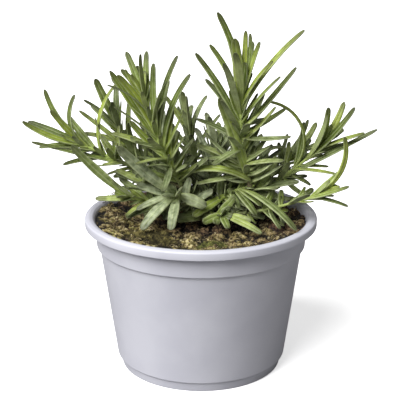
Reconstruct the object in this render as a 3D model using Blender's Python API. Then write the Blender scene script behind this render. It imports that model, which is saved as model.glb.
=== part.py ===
"""Potted lavender: a young bushy plant in a round nursery pot filled with compost.

The origin is the middle of the pot's underside, +Z is up and -Y is the plant's front.
Lengths are in millimetres and angles in degrees; meshes are written in metres.
A heading is 0 towards +X and 90 towards +Y, and a rise is 0 when level and 90 when upright.
"""

import math
import random

import bmesh
import bpy
from mathutils import Vector
from mathutils.bvhtree import BVHTree

MM = 0.001
GAP = 0.35  # air between pieces that touch

# Pot: a thin moulded cup with a turned-down lip, a collar under it and a foot band
POT_HEIGHT = 87.0
LIP_RADIUS = 64.5
LIP_INNER_RADIUS = 59.6
LIP_DEPTH = 4.9
LIP_ROUND = 1.1
WALL = 1.2
COLLAR_TOP_RADIUS = 59.1
COLLAR_FOOT_RADIUS = 58.2
COLLAR_Z = 69.6
WALL_TOP_RADIUS = 56.5
WALL_FOOT_RADIUS = 47.7
FOOT_BAND_Z = 6.0
FOOT_GROOVE = 0.6
FOOT_RADIUS = 45.2
FOOT_RING_WIDTH = 2.6
FLOOR_LIFT = 2.0
DRAIN_HOLES = 6
DRAIN_HOLE_RADIUS = 4.5
DRAIN_RING_RADIUS = 29.0
DRAIN_CUT_Z = (-1.0, 6.0)
DRAIN_SIDES = 12
POT_STEPS = 40

# Compost: fills the pot to a few millimetres under the lip
SOIL_Z = 81.4
SOIL_RINGS = (12.0, 24.0, 36.0, 47.0)
SOIL_STEPS = 30
SOIL_SWELL = 0.9
SOIL_RIPPLE = 0.4

# Woody crown: the old stump that every shoot comes from
CROWN_RADIUS = 5.6
CROWN_FOOT_Z = 70.0
CROWN_TOP_Z = 89.5
CROWN_SIDES = 12
CROWN_STEPS = 6
CROWN_FOOT = (1.0, 2.0)
CROWN_LEAN = (0.8, 0.6)  # from its foot to its top
CROWN_SOCKET_GAP = 1.2
CROWN_SOCKET_TOP_Z = 87.4

# Leaves and stems
TUBE_SIDE = Vector((0.31, 0.95, 0.05))  # no tube runs this way, so every tube's section can be set by it
STEM_SIDES = 5
STEM_STEPS = 8
STEM_TAPER = 0.62
CUT_STEPS = 60  # how finely a shoot's foot is cut back to clear what it grows from
LEAF_STATIONS = (0.0, 0.22, 0.60, 0.90)
LEAF_NECK = 0.36  # width of a leaf's foot beside its widest part
LEAF_WIDEST = 0.56
LEAF_NARROWING = 0.30  # how much of its width a leaf loses from there to its end
LEAF_BLUNT_FROM = 0.80  # where, on the way from there to its end, it rounds off
LEAF_THICKNESS = 0.9
LEAF_CLEARANCE = 0.7
LEAF_FLOOR = 86.6  # leaves stay above the moss cushions
SHORTEST_SOLID_LEAF = 15.0  # the smallest leaves have no solid
LEAF_ROOT = 0.6  # how far a leaf's foot reaches past the middle of its stem
LEAF_OUTER_PART = 0.3  # from here out, leaves of one shoot keep clear of each other
LEAF_STEPS = 10
LIGHT_WAY = Vector((-0.20, -0.50, 0.65))  # leaves turn their faces this way as much as towards their stem
SPREAD_LIMIT = 97.6  # no rule-grown leaf reaches further from the middle than this
SEED = 8

# How leaf pairs grow: an angle from the stem at the tip, what an old leaf's angle adds, and how fast it opens
FIRST_LEAN = (8, 58, 1.2)
LAST_LEAN = (28, 34, 0.7)
ROLL_SPREAD = 16
LEAN_SPREAD = 7
LIFT_RANGE = (-14, 16)
LENGTH_RANGE = (0.88, 1.1)
WIDTH_RANGE = (0.85, 1.1)
PAIR_CROWDING = 1.35  # above 1, pairs stand closer together towards the tip
TOPMOST_PAIR = 0.985

# What a leaf tries in turn where it is in another's way: how far it turns aside and rises, and its length
LEAF_TURNS = (
    (0, 0), (9, 0), (-9, 0), (0, 9), (0, -9), (18, 5), (-18, 5), (0, 18), (28, 0), (-28, 0),
    (14, 24), (-14, 24), (40, 10), (-40, 10),
)
LEAF_SHORTENINGS = (1.0, 0.82, 0.66)

# Shoots: where each leaves the crown, or which shoot it forks from and how far up, and how it grows.
# lift steepens it and swing turns it from its foot to its tip; pairs of leaves stand crosswise.
SHOOTS = {
    "tall_left_shoot": dict(foot=(0, 2, 86), heading=225, rise=50, length=80, lift=28, swing=-45,
                            girth=3.2, pairs=9, leaf=33, width=4.4, bare=0.20, turn=50),
    "front_branch": dict(foot=(4, 1, 86), heading=-55, rise=60, length=36, lift=-50, swing=55,
                         girth=3.0, pairs=3, leaf=20, width=4.6, bare=0.40, turn=40),
    "tall_right_shoot": dict(fork=("front_branch", 0.93), heading=165, rise=74, length=54, lift=22, swing=0,
                             girth=3.2, pairs=11, leaf=34, width=4.4, bare=0.14, turn=0),
    "east_shoot": dict(foot=(5, 4, 86), heading=2, rise=19, length=78, lift=28, swing=-6,
                       girth=2.8, pairs=7, leaf=28, width=4.0, bare=0.22, turn=35),
    "northeast_shoot": dict(foot=(4, 7, 86), heading=22, rise=20, length=62, lift=20, swing=-14,
                            girth=2.6, pairs=9, leaf=28, width=4.0, bare=0.22, turn=70),
    "front_right_shoot": dict(foot=(5, -1, 86), heading=-38, rise=10, length=69, lift=12, swing=50,
                              girth=2.6, pairs=5, leaf=20, width=3.8, bare=0.24, turn=15),
    "west_shoot": dict(fork=("tall_left_shoot", 0.27), heading=172, rise=20, length=62, lift=8, swing=14,
                       girth=2.8, pairs=7, leaf=28, width=4.0, bare=0.26, turn=20),
    "northwest_shoot": dict(fork=("tall_left_shoot", 0.24), heading=142, rise=10, length=56, lift=62,
                            swing=48, girth=2.6, pairs=8, leaf=28, width=4.2, bare=0.20, turn=60),
    "west_low_shoot": dict(foot=(-3, 1, 87), heading=208, rise=24, length=44, lift=-8, swing=-4,
                           girth=2.4, pairs=5, leaf=20, width=4.6, bare=0.26, turn=30),
    "front_left_shoot": dict(foot=(-2, -2, 87), heading=238, rise=46, length=26, lift=-14, swing=-12,
                             girth=2.4, pairs=4, leaf=22, width=5.2, bare=0.30, turn=0),
    "front_shoot": dict(foot=(3, -3, 87), heading=-68, rise=16, length=19, lift=0, swing=10,
                        girth=2.2, pairs=3, leaf=16, width=4.8, bare=0.35, turn=50),
    "back_shoot": dict(foot=(1, 7, 87), heading=100, rise=55, length=50, lift=15, swing=25,
                       girth=2.6, pairs=9, leaf=28, width=4.2, bare=0.14, turn=25),
    "north_shoot": dict(foot=(4, 8, 86), heading=72, rise=28, length=46, lift=14, swing=12,
                        girth=2.4, pairs=8, leaf=26, width=4.2, bare=0.14, turn=80),
    "north_low_shoot": dict(foot=(-2, 7, 86), heading=128, rise=16, length=44, lift=18, swing=-8,
                            girth=2.4, pairs=8, leaf=26, width=4.4, bare=0.14, turn=45),
    "middle_shoot": dict(foot=(3, 4, 88), heading=60, rise=66, length=34, lift=10, swing=0,
                         girth=2.2, pairs=9, leaf=27, width=4.8, bare=0.08, turn=15),
    "middle_left_shoot": dict(foot=(-2, 4, 88), heading=158, rise=44, length=38, lift=16, swing=-10,
                              girth=2.2, pairs=9, leaf=27, width=4.8, bare=0.08, turn=60),
    "middle_right_shoot": dict(foot=(5, 2, 88), heading=20, rise=46, length=32, lift=10, swing=8,
                               girth=2.2, pairs=9, leaf=27, width=4.8, bare=0.08, turn=30),
    "southeast_shoot": dict(foot=(5, 0, 87), heading=-14, rise=32, length=34, lift=0, swing=-6,
                            girth=2.2, pairs=8, leaf=24, width=4.8, bare=0.12, turn=75),
    "southwest_shoot": dict(foot=(-3, 0, 87), heading=188, rise=34, length=34, lift=0, swing=8,
                            girth=2.2, pairs=8, leaf=24, width=4.8, bare=0.12, turn=10),
}

# Leaves that give the plant its outline, placed by eye:
# how far up the shoot, heading, rise, length, width, lift
FEATURE_LEAVES = {
    "tall_left_shoot": (
        (0.62, 178, 57, 49, 4.2, 0), (0.69, 195, 71, 41, 4.8, -24), (0.84, 170, 78, 30, 4.0, -38),
        (0.69, 240, 74, 41, 5.4, 24), (0.65, 0, 95, 49, 4.6, -34), (0.58, -6, 90, 46, 5.2, -38),
        (0.41, 200, 68, 36, 5.8, 42), (0.52, 175, 43, 29, 4.8, 6), (0.37, -10, 34, 44, 5.6, -68),
        (0.27, 234, -34, 30, 6.6, -12), (0.28, 205, -12, 24, 4.8, -14), (0.24, -40, 4, 21, 6.2, -8),
        (0.19, -110, -26, 20, 6.0, 0),
    ),
    "tall_right_shoot": (
        (0.95, 180, 86, 46, 4.4, -26), (0.80, 222, 86, 39, 6.0, -8), (0.97, 0, 86, 33, 3.4, 3),
        (0.97, -10, 72, 32, 3.4, 22), (0.78, 0, 66, 55, 5.0, -26), (0.56, 0, 50, 46, 5.0, 2),
        (0.60, 178, 67, 48, 4.8, -16), (0.08, 205, 72, 50, 6.2, -6), (0.05, 188, 46, 36, 6.2, -30),
        (0.54, 6, 26, 28, 4.8, 8), (0.06, 196, 60, 34, 6.4, -20),
    ),
    "east_shoot": (
        (0.54, -4, 29, 62, 4.0, 0), (0.79, -16, 42, 41, 4.8, 16), (0.88, -24, 62, 27, 4.2, 26),
        (0.66, 0, 42, 53, 3.6, 134), (0.18, 14, 4, 60, 2.6, -12),
    ),
    "front_right_shoot": (
        (0.97, 2, 32, 35, 4.0, 76), (0.80, -14, 17, 27, 4.0, 6),
    ),
    "west_shoot": (
        (0.97, 174, 26, 32, 4.2, -8), (0.97, 192, 10, 35, 4.8, 28), (0.56, 190, 16, 52, 3.8, 0),
        (0.97, 160, 32, 37, 3.6, 42), (0.98, 205, 44, 30, 5.4, 80), (0.78, 40, 112, 43, 4.0, -78),
    ),
    "northwest_shoot": (
        (0.97, 192, 64, 30, 4.8, 4), (0.60, 172, 41, 42, 3.2, -6), (0.52, 222, 46, 26, 5.2, 20),
    ),
    "west_low_shoot": ((0.98, 190, 40, 42, 5.4, 10), (0.45, 214, 0, 26, 5.0, -14)),
    "front_left_shoot": (
        (0.98, 198, 38, 43, 6.4, 10), (0.96, 218, -28, 28, 7.4, -30), (0.90, 262, -34, 25, 6.6, -32),
        (0.92, -15, -6, 18, 7.0, -22), (0.97, 196, -4, 23, 4.6, -26), (0.80, 208, -14, 24, 6.0, -22),
        (0.70, 160, 30, 20, 4.4, 0),
    ),
    "front_branch": (
        (0.80, -42, -4, 42, 5.8, -36), (0.70, -48, -20, 20, 5.6, -24), (0.50, 218, -14, 24, 5.6, -10),
        (0.55, -30, -6, 17, 6.6, -26),
    ),
    "front_shoot": (
        (0.98, 222, -4, 14, 5.0, -6), (0.98, -75, -8, 14, 4.4, -16), (0.96, -38, 0, 28, 4.2, -22),
        (0.30, 214, 2, 23, 6.8, -16), (0.95, -20, 0, 18, 4.6, -10),
    ),
}

# Moss cushions and a lump of bark on the compost: bearing and distance from the axis, half size along
# the wall and half size across it, and height
CUSHIONS = {
    "moss_front_left": dict(bearing=230, distance=42, along=18, across=10, height=3.4, colour="7D7640"),
    "moss_front": dict(bearing=282, distance=45, along=14, across=7.5, height=2.6, colour="5C6430"),
    "moss_left": dict(bearing=184, distance=46, along=14, across=6.5, height=3.0, colour="6E6A3A"),
    "bark_right": dict(bearing=344, distance=45, along=9, across=6, height=3.4, colour="5A4030"),
}
CUSHION_STEPS = 14
CUSHION_RINGS = 3


def clear_scene():
    for thing in list(bpy.data.objects):
        bpy.data.objects.remove(thing, do_unlink=True)


def material(name, colour, roughness):
    made = bpy.data.materials.new(name)
    made.use_nodes = True
    shader = made.node_tree.nodes["Principled BSDF"]
    channels = [int(colour[i:i + 2], 16) / 255 for i in (0, 2, 4)]
    linear = [c / 12.92 if c <= 0.04045 else ((c + 0.055) / 1.055) ** 2.4 for c in channels]
    shader.inputs["Base Color"].default_value = (*linear, 1.0)
    shader.inputs["Roughness"].default_value = roughness
    return made


def mesh_object(name, points, faces, finish, smooth_angle=40):
    mesh = bpy.data.meshes.new(name)
    mesh.from_pydata([Vector(p) * MM for p in points], [], faces)
    if finish:
        mesh.materials.append(finish)
    mesh.shade_smooth()
    mesh.set_sharp_from_angle(angle=math.radians(smooth_angle))
    thing = bpy.data.objects.new(name, mesh)
    bpy.context.scene.collection.objects.link(thing)
    return thing


def helper(thing):
    """Keep a cutter or an operand out of the finished part."""
    thing.hide_render = True
    thing.display_type = "WIRE"


def settle_modifiers(thing):
    """Replace an object's mesh by what its modifiers make of it."""
    graph = bpy.context.evaluated_depsgraph_get()
    settled = bpy.data.meshes.new_from_object(thing.evaluated_get(graph))
    thing.modifiers.clear()
    thing.data = settled


def keep_outer_shell(mesh):
    """Delete the small closed pockets that a union leaves inside, keeping the largest connected surface."""
    shape = bmesh.new()
    shape.from_mesh(mesh)
    bmesh.ops.triangulate(shape, faces=shape.faces)
    left = set(shape.faces)
    shells = []
    while left:
        queue = [left.pop()]
        shell = []
        while queue:
            face = queue.pop()
            shell.append(face)
            for edge in face.edges:
                if len(edge.link_faces) != 2:
                    continue
                for other in edge.link_faces:
                    if other in left:
                        left.remove(other)
                        queue.append(other)
        shells.append(shell)
    shells.sort(key=len)
    bmesh.ops.delete(shape, geom=[face for shell in shells[:-1] for face in shell], context="FACES")
    shape.to_mesh(mesh)
    shape.free()


def arc(middle_r, middle_z, radius, start, end, steps):
    """Points (r, z) on an arc, both ends included."""
    turns = [math.radians(start + (end - start) * i / steps) for i in range(steps + 1)]
    return [(middle_r + radius * math.cos(a), middle_z + radius * math.sin(a)) for a in turns]


def turned(name, profile, steps, finish):
    """A closed body turned about Z from a profile that runs down its outer side."""
    mesh = bpy.data.meshes.new(name)
    points = [(r * MM, 0.0, z * MM) for r, z in profile]
    mesh.from_pydata(points, [(i, i + 1) for i in range(len(points) - 1)], [])
    mesh.materials.append(finish)
    thing = bpy.data.objects.new(name, mesh)
    bpy.context.scene.collection.objects.link(thing)
    screw = thing.modifiers.new("Turn", "SCREW")
    screw.angle = math.radians(360)
    screw.steps = steps
    screw.render_steps = steps
    screw.use_merge_vertices = True
    screw.merge_threshold = 0.0001
    screw.use_smooth_shade = True
    settle_modifiers(thing)
    thing.data.set_sharp_from_angle(angle=math.radians(30))
    return thing


def inner_wall():
    """Inside of the pot from the middle of its floor up to under the lip."""
    floor_z = FLOOR_LIFT + WALL
    return [
        (0.0, floor_z),
        (FOOT_RADIUS - WALL, floor_z),
        (FOOT_RADIUS - WALL + 0.8, FOOT_BAND_Z - 1.4),
        (WALL_FOOT_RADIUS - WALL, FOOT_BAND_Z + 1.2),
        (WALL_TOP_RADIUS - WALL, COLLAR_Z),
        (COLLAR_FOOT_RADIUS - WALL, COLLAR_Z + 1.6),
        (COLLAR_TOP_RADIUS - WALL, POT_HEIGHT - LIP_DEPTH),
    ]


def build_pot():
    crest_r = (LIP_INNER_RADIUS + LIP_RADIUS) / 2
    skirt_z = POT_HEIGHT - LIP_DEPTH
    underlip_z = POT_HEIGHT - WALL - 0.9
    profile = inner_wall()
    profile += [(LIP_INNER_RADIUS, POT_HEIGHT - 0.7), (crest_r, POT_HEIGHT)]
    profile += arc(LIP_RADIUS - LIP_ROUND, POT_HEIGHT - 0.5 - LIP_ROUND, LIP_ROUND, 75, 0, 3)
    profile += [
        (LIP_RADIUS, skirt_z),
        (LIP_RADIUS - WALL, skirt_z),
        (LIP_RADIUS - WALL, underlip_z),
        (COLLAR_TOP_RADIUS + 0.1, underlip_z),
        (COLLAR_TOP_RADIUS, skirt_z),
        (COLLAR_FOOT_RADIUS, COLLAR_Z + 1.0),
        (WALL_TOP_RADIUS, COLLAR_Z),
        (WALL_FOOT_RADIUS, FOOT_BAND_Z),
        (WALL_FOOT_RADIUS - 1.0, FOOT_BAND_Z - FOOT_GROOVE),
        (FOOT_RADIUS + 0.9, FOOT_BAND_Z - 2 * FOOT_GROOVE),
        (FOOT_RADIUS, 0.0),
        (FOOT_RADIUS - FOOT_RING_WIDTH, 0.0),
        (FOOT_RADIUS - FOOT_RING_WIDTH - 0.6, FLOOR_LIFT),
        (0.0, FLOOR_LIFT),
    ]
    pot = turned("nursery_pot", profile, POT_STEPS, material("pot_plastic", "CFCFD8", 0.45))
    for i in range(DRAIN_HOLES):
        turn = 2 * math.pi * (i + 0.5) / DRAIN_HOLES
        middle = Vector((math.cos(turn), math.sin(turn), 0)) * DRAIN_RING_RADIUS
        cutter = tube_object(
            f"drain_cutter_{i}",
            [middle + Vector((0, 0, z)) for z in DRAIN_CUT_Z],
            [DRAIN_HOLE_RADIUS, DRAIN_HOLE_RADIUS], DRAIN_SIDES, None)
        helper(cutter)
        cut = pot.modifiers.new(f"Drain {i}", "BOOLEAN")
        cut.operation = "DIFFERENCE"
        cut.object = cutter
    return pot


def tube(line, radii, sides):
    """Points and faces of a closed tube along a line."""
    points = []
    for i, (middle, radius) in enumerate(zip(line, radii)):
        ahead = (line[min(i + 1, len(line) - 1)] - line[max(i - 1, 0)]).normalized()
        across = ahead.cross(TUBE_SIDE).normalized()
        up = across.cross(ahead)
        for j in range(sides):
            turn = 2 * math.pi * j / sides
            points.append(middle + across * (radius * math.cos(turn)) + up * (radius * math.sin(turn)))
    faces = [tuple(range(sides))]
    for i in range(len(line) - 1):
        for j in range(sides):
            k = (j + 1) % sides
            low, high = i * sides, (i + 1) * sides
            faces.append((low + k, low + j, high + j, high + k))
    faces.append(tuple(range(len(points) - 1, len(points) - sides - 1, -1)))
    return points, faces


def tube_object(name, line, radii, sides, finish):
    points, faces = tube(line, radii, sides)
    return mesh_object(name, points, faces, finish)


def direction(heading, rise):
    h, r = math.radians(heading), math.radians(rise)
    return Vector((math.cos(h) * math.cos(r), math.sin(h) * math.cos(r), math.sin(r)))


def growth_line(foot, heading, rise, length, lift, swing, steps):
    """Points along something that grows from foot, steepening by lift and turning by swing on its way."""
    line = [Vector(foot)]
    for i in range(steps):
        t = (i + 0.5) / steps
        line.append(line[-1] + direction(heading + swing * t, rise + lift * t) * (length / steps))
    return line


def blade_line(foot, first, last, length, steps):
    """Points along a leaf's midrib, which turns evenly from its first way to its last."""
    line = [Vector(foot)]
    for i in range(steps):
        line.append(line[-1] + first.slerp(last, (i + 0.5) / steps, first) * (length / steps))
    return line


def redirected(way, aside, up):
    """A direction turned aside about Z and raised, both in degrees."""
    heading = math.degrees(math.atan2(way.y, way.x))
    return direction(heading + aside, math.degrees(math.asin(max(-1.0, min(1.0, way.z)))) + up)


def leaning(ahead, outward, angle):
    """The way ahead leaned outward by an angle."""
    return ahead * math.cos(math.radians(angle)) + outward * math.sin(math.radians(angle))


def point_on(line, place):
    """Point and direction at a fraction of the way along a line."""
    at = min(max(place, 0.0), 0.9999) * (len(line) - 1)
    i = int(at)
    step = line[i + 1] - line[i]
    return line[i] + step * (at - i), step.normalized()


def leaf_width(t):
    """Outline of a lavender leaf: a narrow foot, widest past the middle, and a blunt end."""
    if t < LEAF_WIDEST:
        return LEAF_NECK + (1 - LEAF_NECK) * math.sin(0.5 * math.pi * t / LEAF_WIDEST)
    beyond = (t - LEAF_WIDEST) / (1 - LEAF_WIDEST)
    end = max(0.0, (beyond - LEAF_BLUNT_FROM) / (1 - LEAF_BLUNT_FROM))
    return (1 - LEAF_NARROWING * beyond) * math.sqrt(1 - end ** 2)


def blade(line, width, stem_way, thickness, start=0.0):
    """Points and faces of a leaf: flat above, keeled below, its upper face towards the stem."""
    points = []
    _, ahead = point_on(line, 0.4)
    side = ahead.cross(stem_way + LIGHT_WAY)
    if side.length < 0.2:
        side = ahead.cross(stem_way)
    stations = [t for t in LEAF_STATIONS if t >= start]
    for t in stations:
        middle, ahead = point_on(line, t)
        side = (side - ahead * side.dot(ahead)).normalized()
        over = side.cross(ahead)
        half = 0.5 * width * leaf_width(t)
        keel = thickness * (1.1 - 0.4 * t)
        points += [middle + side * half, middle - side * half, middle - over * keel]
    points.append(line[-1])
    faces = [(0, 1, 2)]
    for i in range(len(stations) - 1):
        for j in range(3):
            k = (j + 1) % 3
            faces.append((3 * i + k, 3 * i + j, 3 * i + 3 + j, 3 * i + 3 + k))
    last = 3 * (len(stations) - 1)
    tip = len(points) - 1
    faces += [(last + 1, last, tip), (last + 2, last + 1, tip), (last, last + 2, tip)]
    return points, faces


def stem_radius(shoot, t):
    return shoot["girth"] / 2 * (1 - STEM_TAPER * t)


def opening(lean, age):
    """How far a leaf leans from its stem, for an age from 0 at the tip to 1 at the foot."""
    least, more, power = lean
    return least + more * age ** power


def rule_leaves(shoot, line, rng):
    """Leaf pairs up a shoot, each crosswise to the last: old ones wide open, young ones hugging the tip.

    A leaf is its place on the shoot, its first and last way, its length and its width.
    """
    leaves = []
    pairs = shoot["pairs"]
    for k in range(pairs):
        age = 1 - k / (pairs - 1)
        place = shoot["bare"] + (TOPMOST_PAIR - shoot["bare"]) * (1 - age ** PAIR_CROWDING)
        _, ahead = point_on(line, place)
        across = ahead.cross(Vector((0, 0, 1))).normalized()
        over = across.cross(ahead)
        size = 0.45 + 0.60 * math.sin(math.pi * age ** 0.6)
        for half_turn in (0, 180):
            roll = math.radians(shoot["turn"] + 90 * k + half_turn + rng.uniform(-ROLL_SPREAD, ROLL_SPREAD))
            outward = across * math.cos(roll) + over * math.sin(roll)
            unevenness = rng.uniform(-LEAN_SPREAD, LEAN_SPREAD)
            first = leaning(ahead, outward, opening(FIRST_LEAN, age) + unevenness)
            last = leaning(ahead, outward, opening(LAST_LEAN, age) + unevenness)
            length = shoot["leaf"] * size * rng.uniform(*LENGTH_RANGE)
            width = shoot["width"] * rng.uniform(*WIDTH_RANGE)
            last = redirected(last, 0, rng.uniform(*LIFT_RANGE))
            leaves.append((place, first, last, length, width))
    return leaves


def clear_of_pot(points):
    """Whether leaf points stay above the compost, over the lip or outside the pot, and within the spread."""
    for p in points:
        from_axis = math.hypot(p.x, p.y)
        lowest = LEAF_FLOOR if from_axis < LIP_INNER_RADIUS - 4 else POT_HEIGHT + 1.0
        if from_axis < LIP_RADIUS + 2.5 and p.z < lowest:
            return False
        if abs(p.x) > SPREAD_LIMIT or abs(p.y) > LIP_RADIUS - 1:
            return False
    return True


def settle_leaf(leaf, line, own, others):
    """A leaf gives way to what stands there: it turns aside, rises or stays shorter, or isn't grown."""
    place, first, last, length, width = leaf
    foot, ahead = point_on(line, place)
    foot = foot - first * LEAF_ROOT
    for shorter in LEAF_SHORTENINGS:
        for aside, up in LEAF_TURNS:
            from_way, to_way = redirected(first, aside, up), redirected(last, aside, up)
            midrib = blade_line(foot, from_way, to_way, length * shorter, LEAF_STEPS)
            points, faces = blade(midrib, width + LEAF_CLEARANCE, ahead, LEAF_THICKNESS + LEAF_CLEARANCE)
            outer_points, outer_faces = blade(midrib, width, ahead, LEAF_THICKNESS, LEAF_OUTER_PART)
            if not clear_of_pot(outer_points):
                continue
            whole = BVHTree.FromPolygons(points, faces)
            outer = BVHTree.FromPolygons(outer_points, outer_faces)
            if any(whole.overlap(tree) for tree in others) or any(outer.overlap(tree) for tree in own):
                continue
            return midrib, whole, outer, ahead, width
    return None


def stem_lines():
    """The line of each shoot, a fork starting on its parent's line."""
    lines = {}
    for name, shoot in SHOOTS.items():
        foot = shoot.get("foot")
        if "fork" in shoot:
            parent, place = shoot["fork"]
            foot, _ = point_on(lines[parent], place)
        lines[name] = growth_line(foot, shoot["heading"], shoot["rise"], shoot["length"], shoot["lift"],
                                  shoot["swing"], STEM_STEPS)
    return lines


def grow_leaves(lines):
    """Every leaf of the plant as it settles, feature leaves first: per shoot, a list of blades."""
    rng = random.Random(SEED)
    stem_trees = {}
    for name, line in lines.items():
        radii = [stem_radius(SHOOTS[name], i / STEM_STEPS) + 0.3 for i in range(len(line))]
        stem_trees[name] = BVHTree.FromPolygons(*tube(line, radii, STEM_SIDES))
    wanted = []
    for name in SHOOTS:
        for place, heading, rise, length, width, lift in FEATURE_LEAVES.get(name, ()):
            first, last = direction(heading, rise), direction(heading, rise + lift)
            wanted.append((name, (place, first, last, length, width)))
    for name, shoot in SHOOTS.items():
        wanted += [(name, leaf) for leaf in rule_leaves(shoot, lines[name], rng)]
    grown = {name: [] for name in SHOOTS}
    for name, leaf in wanted:
        others = [tree for other, tree in stem_trees.items() if other != name]
        others += [blade_[1] for other in SHOOTS if other != name for blade_ in grown[other]]
        own = [blade_[2] for blade_ in grown[name]]
        settled = settle_leaf(leaf, lines[name], own, others)
        if settled:
            grown[name].append(settled)
    return grown


def soil_height(x, y):
    swell = SOIL_SWELL * math.sin(x / 9 + 0.6) * math.cos(y / 11)
    return SOIL_Z + swell + SOIL_RIPPLE * math.sin((x + y) / 7)


def build_compost():
    """Compost inside the pot with a gently uneven top and a socket for the crown."""
    side = [(r - GAP, z) for r, z in inner_wall()[1:]]
    points = [Vector((0, 0, soil_height(0, 0)))]
    edge_radius = COLLAR_TOP_RADIUS - WALL - GAP - 0.4
    for r in (*SOIL_RINGS, edge_radius):
        for j in range(SOIL_STEPS):
            a = 2 * math.pi * j / SOIL_STEPS
            x, y = r * math.cos(a), r * math.sin(a)
            points.append(Vector((x, y, soil_height(x, y))))
    ring_count = len(SOIL_RINGS) + 1
    for r, z in reversed(side[:-1]):
        for j in range(SOIL_STEPS):
            a = 2 * math.pi * j / SOIL_STEPS
            points.append(Vector((r * math.cos(a), r * math.sin(a), z + GAP)))
        ring_count += 1
    points.append(Vector((0, 0, side[0][1] + GAP)))
    faces = []
    for j in range(SOIL_STEPS):
        k = (j + 1) % SOIL_STEPS
        faces.append((0, 1 + j, 1 + k))
        last = 1 + (ring_count - 1) * SOIL_STEPS
        faces.append((len(points) - 1, last + k, last + j))
        for i in range(ring_count - 1):
            near, far = 1 + i * SOIL_STEPS, 1 + (i + 1) * SOIL_STEPS
            faces.append((near + j, far + j, far + k, near + k))
    compost = mesh_object("compost", points, faces, material("compost", "2A211A", 0.95))
    socket_line = [Vector((*CROWN_FOOT, z)) for z in (CROWN_FOOT_Z - GAP, CROWN_SOCKET_TOP_Z)]
    socket = tube_object("crown_socket", socket_line, [CROWN_RADIUS + CROWN_SOCKET_GAP] * 2,
                         CROWN_SIDES, None)
    helper(socket)
    cut = compost.modifiers.new("Crown socket", "BOOLEAN")
    cut.operation = "DIFFERENCE"
    cut.object = socket
    return compost


def build_crown():
    """A short knobbly stump, thickest where the shoots leave it."""
    foot = Vector((*CROWN_FOOT, CROWN_FOOT_Z))
    rise = Vector((*CROWN_LEAN, CROWN_TOP_Z - CROWN_FOOT_Z))
    line, radii = [], []
    for i in range(CROWN_STEPS + 1):
        t = i / CROWN_STEPS
        line.append(foot + rise * t)
        radii.append(CROWN_RADIUS * (0.78 + 0.16 * math.sin(5.2 * t + 0.4) - 0.30 * max(0.0, t - 0.7)))
    return tube_object("woody_crown", line, radii, CROWN_SIDES, material("old_wood", "6B5A48", 0.85))


def build_cushion(name, spec):
    """A low mound that follows the compost below it."""
    bearing = math.radians(spec["bearing"])
    outward = Vector((math.cos(bearing), math.sin(bearing), 0))
    onward = Vector((-math.sin(bearing), math.cos(bearing), 0))
    rng = random.Random(len(name))
    points, tops = [], []
    for i in range(CUSHION_RINGS + 1):
        rho = i / CUSHION_RINGS
        for j in range(CUSHION_STEPS if i else 1):
            a = 2 * math.pi * j / CUSHION_STEPS
            ragged = 1 + 0.08 * math.sin(3 * a + bearing) + 0.05 * math.sin(5 * a)
            x, y, _ = (outward * (spec["distance"] + spec["across"] * rho * ragged * math.cos(a))
                       + onward * (spec["along"] * rho * ragged * math.sin(a)))
            ground = soil_height(x, y) + 2 * GAP
            dome = spec["height"] * math.sqrt(1 - rho ** 2 * 0.97) * rng.uniform(0.82, 1.0)
            points.append(Vector((x, y, ground)))
            tops.append(Vector((x, y, ground + dome)))
    count = len(points)
    points += tops
    faces = []
    for j in range(CUSHION_STEPS):
        k = (j + 1) % CUSHION_STEPS
        faces += [(0, 1 + k, 1 + j), (count, count + 1 + j, count + 1 + k)]
        for i in range(CUSHION_RINGS - 1):
            near, far = 1 + i * CUSHION_STEPS, 1 + (i + 1) * CUSHION_STEPS
            faces.append((near + j, near + k, far + k, far + j))
            faces.append((count + near + k, count + near + j, count + far + j, count + far + k))
        rim = 1 + (CUSHION_RINGS - 1) * CUSHION_STEPS
        faces.append((rim + j, rim + k, count + rim + k, count + rim + j))
    return mesh_object(name, points, faces, material(name, spec["colour"], 0.95))


def start_clear(line, radii, blockers):
    """The line cut back at its foot until its tube clears what it grows from."""
    fine = [point_on(line, i / CUT_STEPS) for i in range(CUT_STEPS + 1)]
    for first in range(1, CUT_STEPS // 3):
        start = fine[first][0]
        kept = [start] + [p for i, p in enumerate(line) if i / (len(line) - 1) > first / CUT_STEPS + 0.03]
        kept_radii = [radii[0]] + radii[len(line) - len(kept) + 1:]
        grown_radii = [r + GAP for r in kept_radii]
        back = [start - fine[first][1] * GAP] + kept[1:]
        tree = BVHTree.FromPolygons(*tube(back, grown_radii, STEM_SIDES))
        if not any(tree.overlap(other) for other in blockers):
            break
    return kept, kept_radii


def tree_of(thing):
    graph = bpy.context.evaluated_depsgraph_get()
    mesh = thing.evaluated_get(graph).to_mesh()
    points = [v.co / MM for v in mesh.vertices]
    return BVHTree.FromPolygons(points, [tuple(p.vertices) for p in mesh.polygons])


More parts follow.
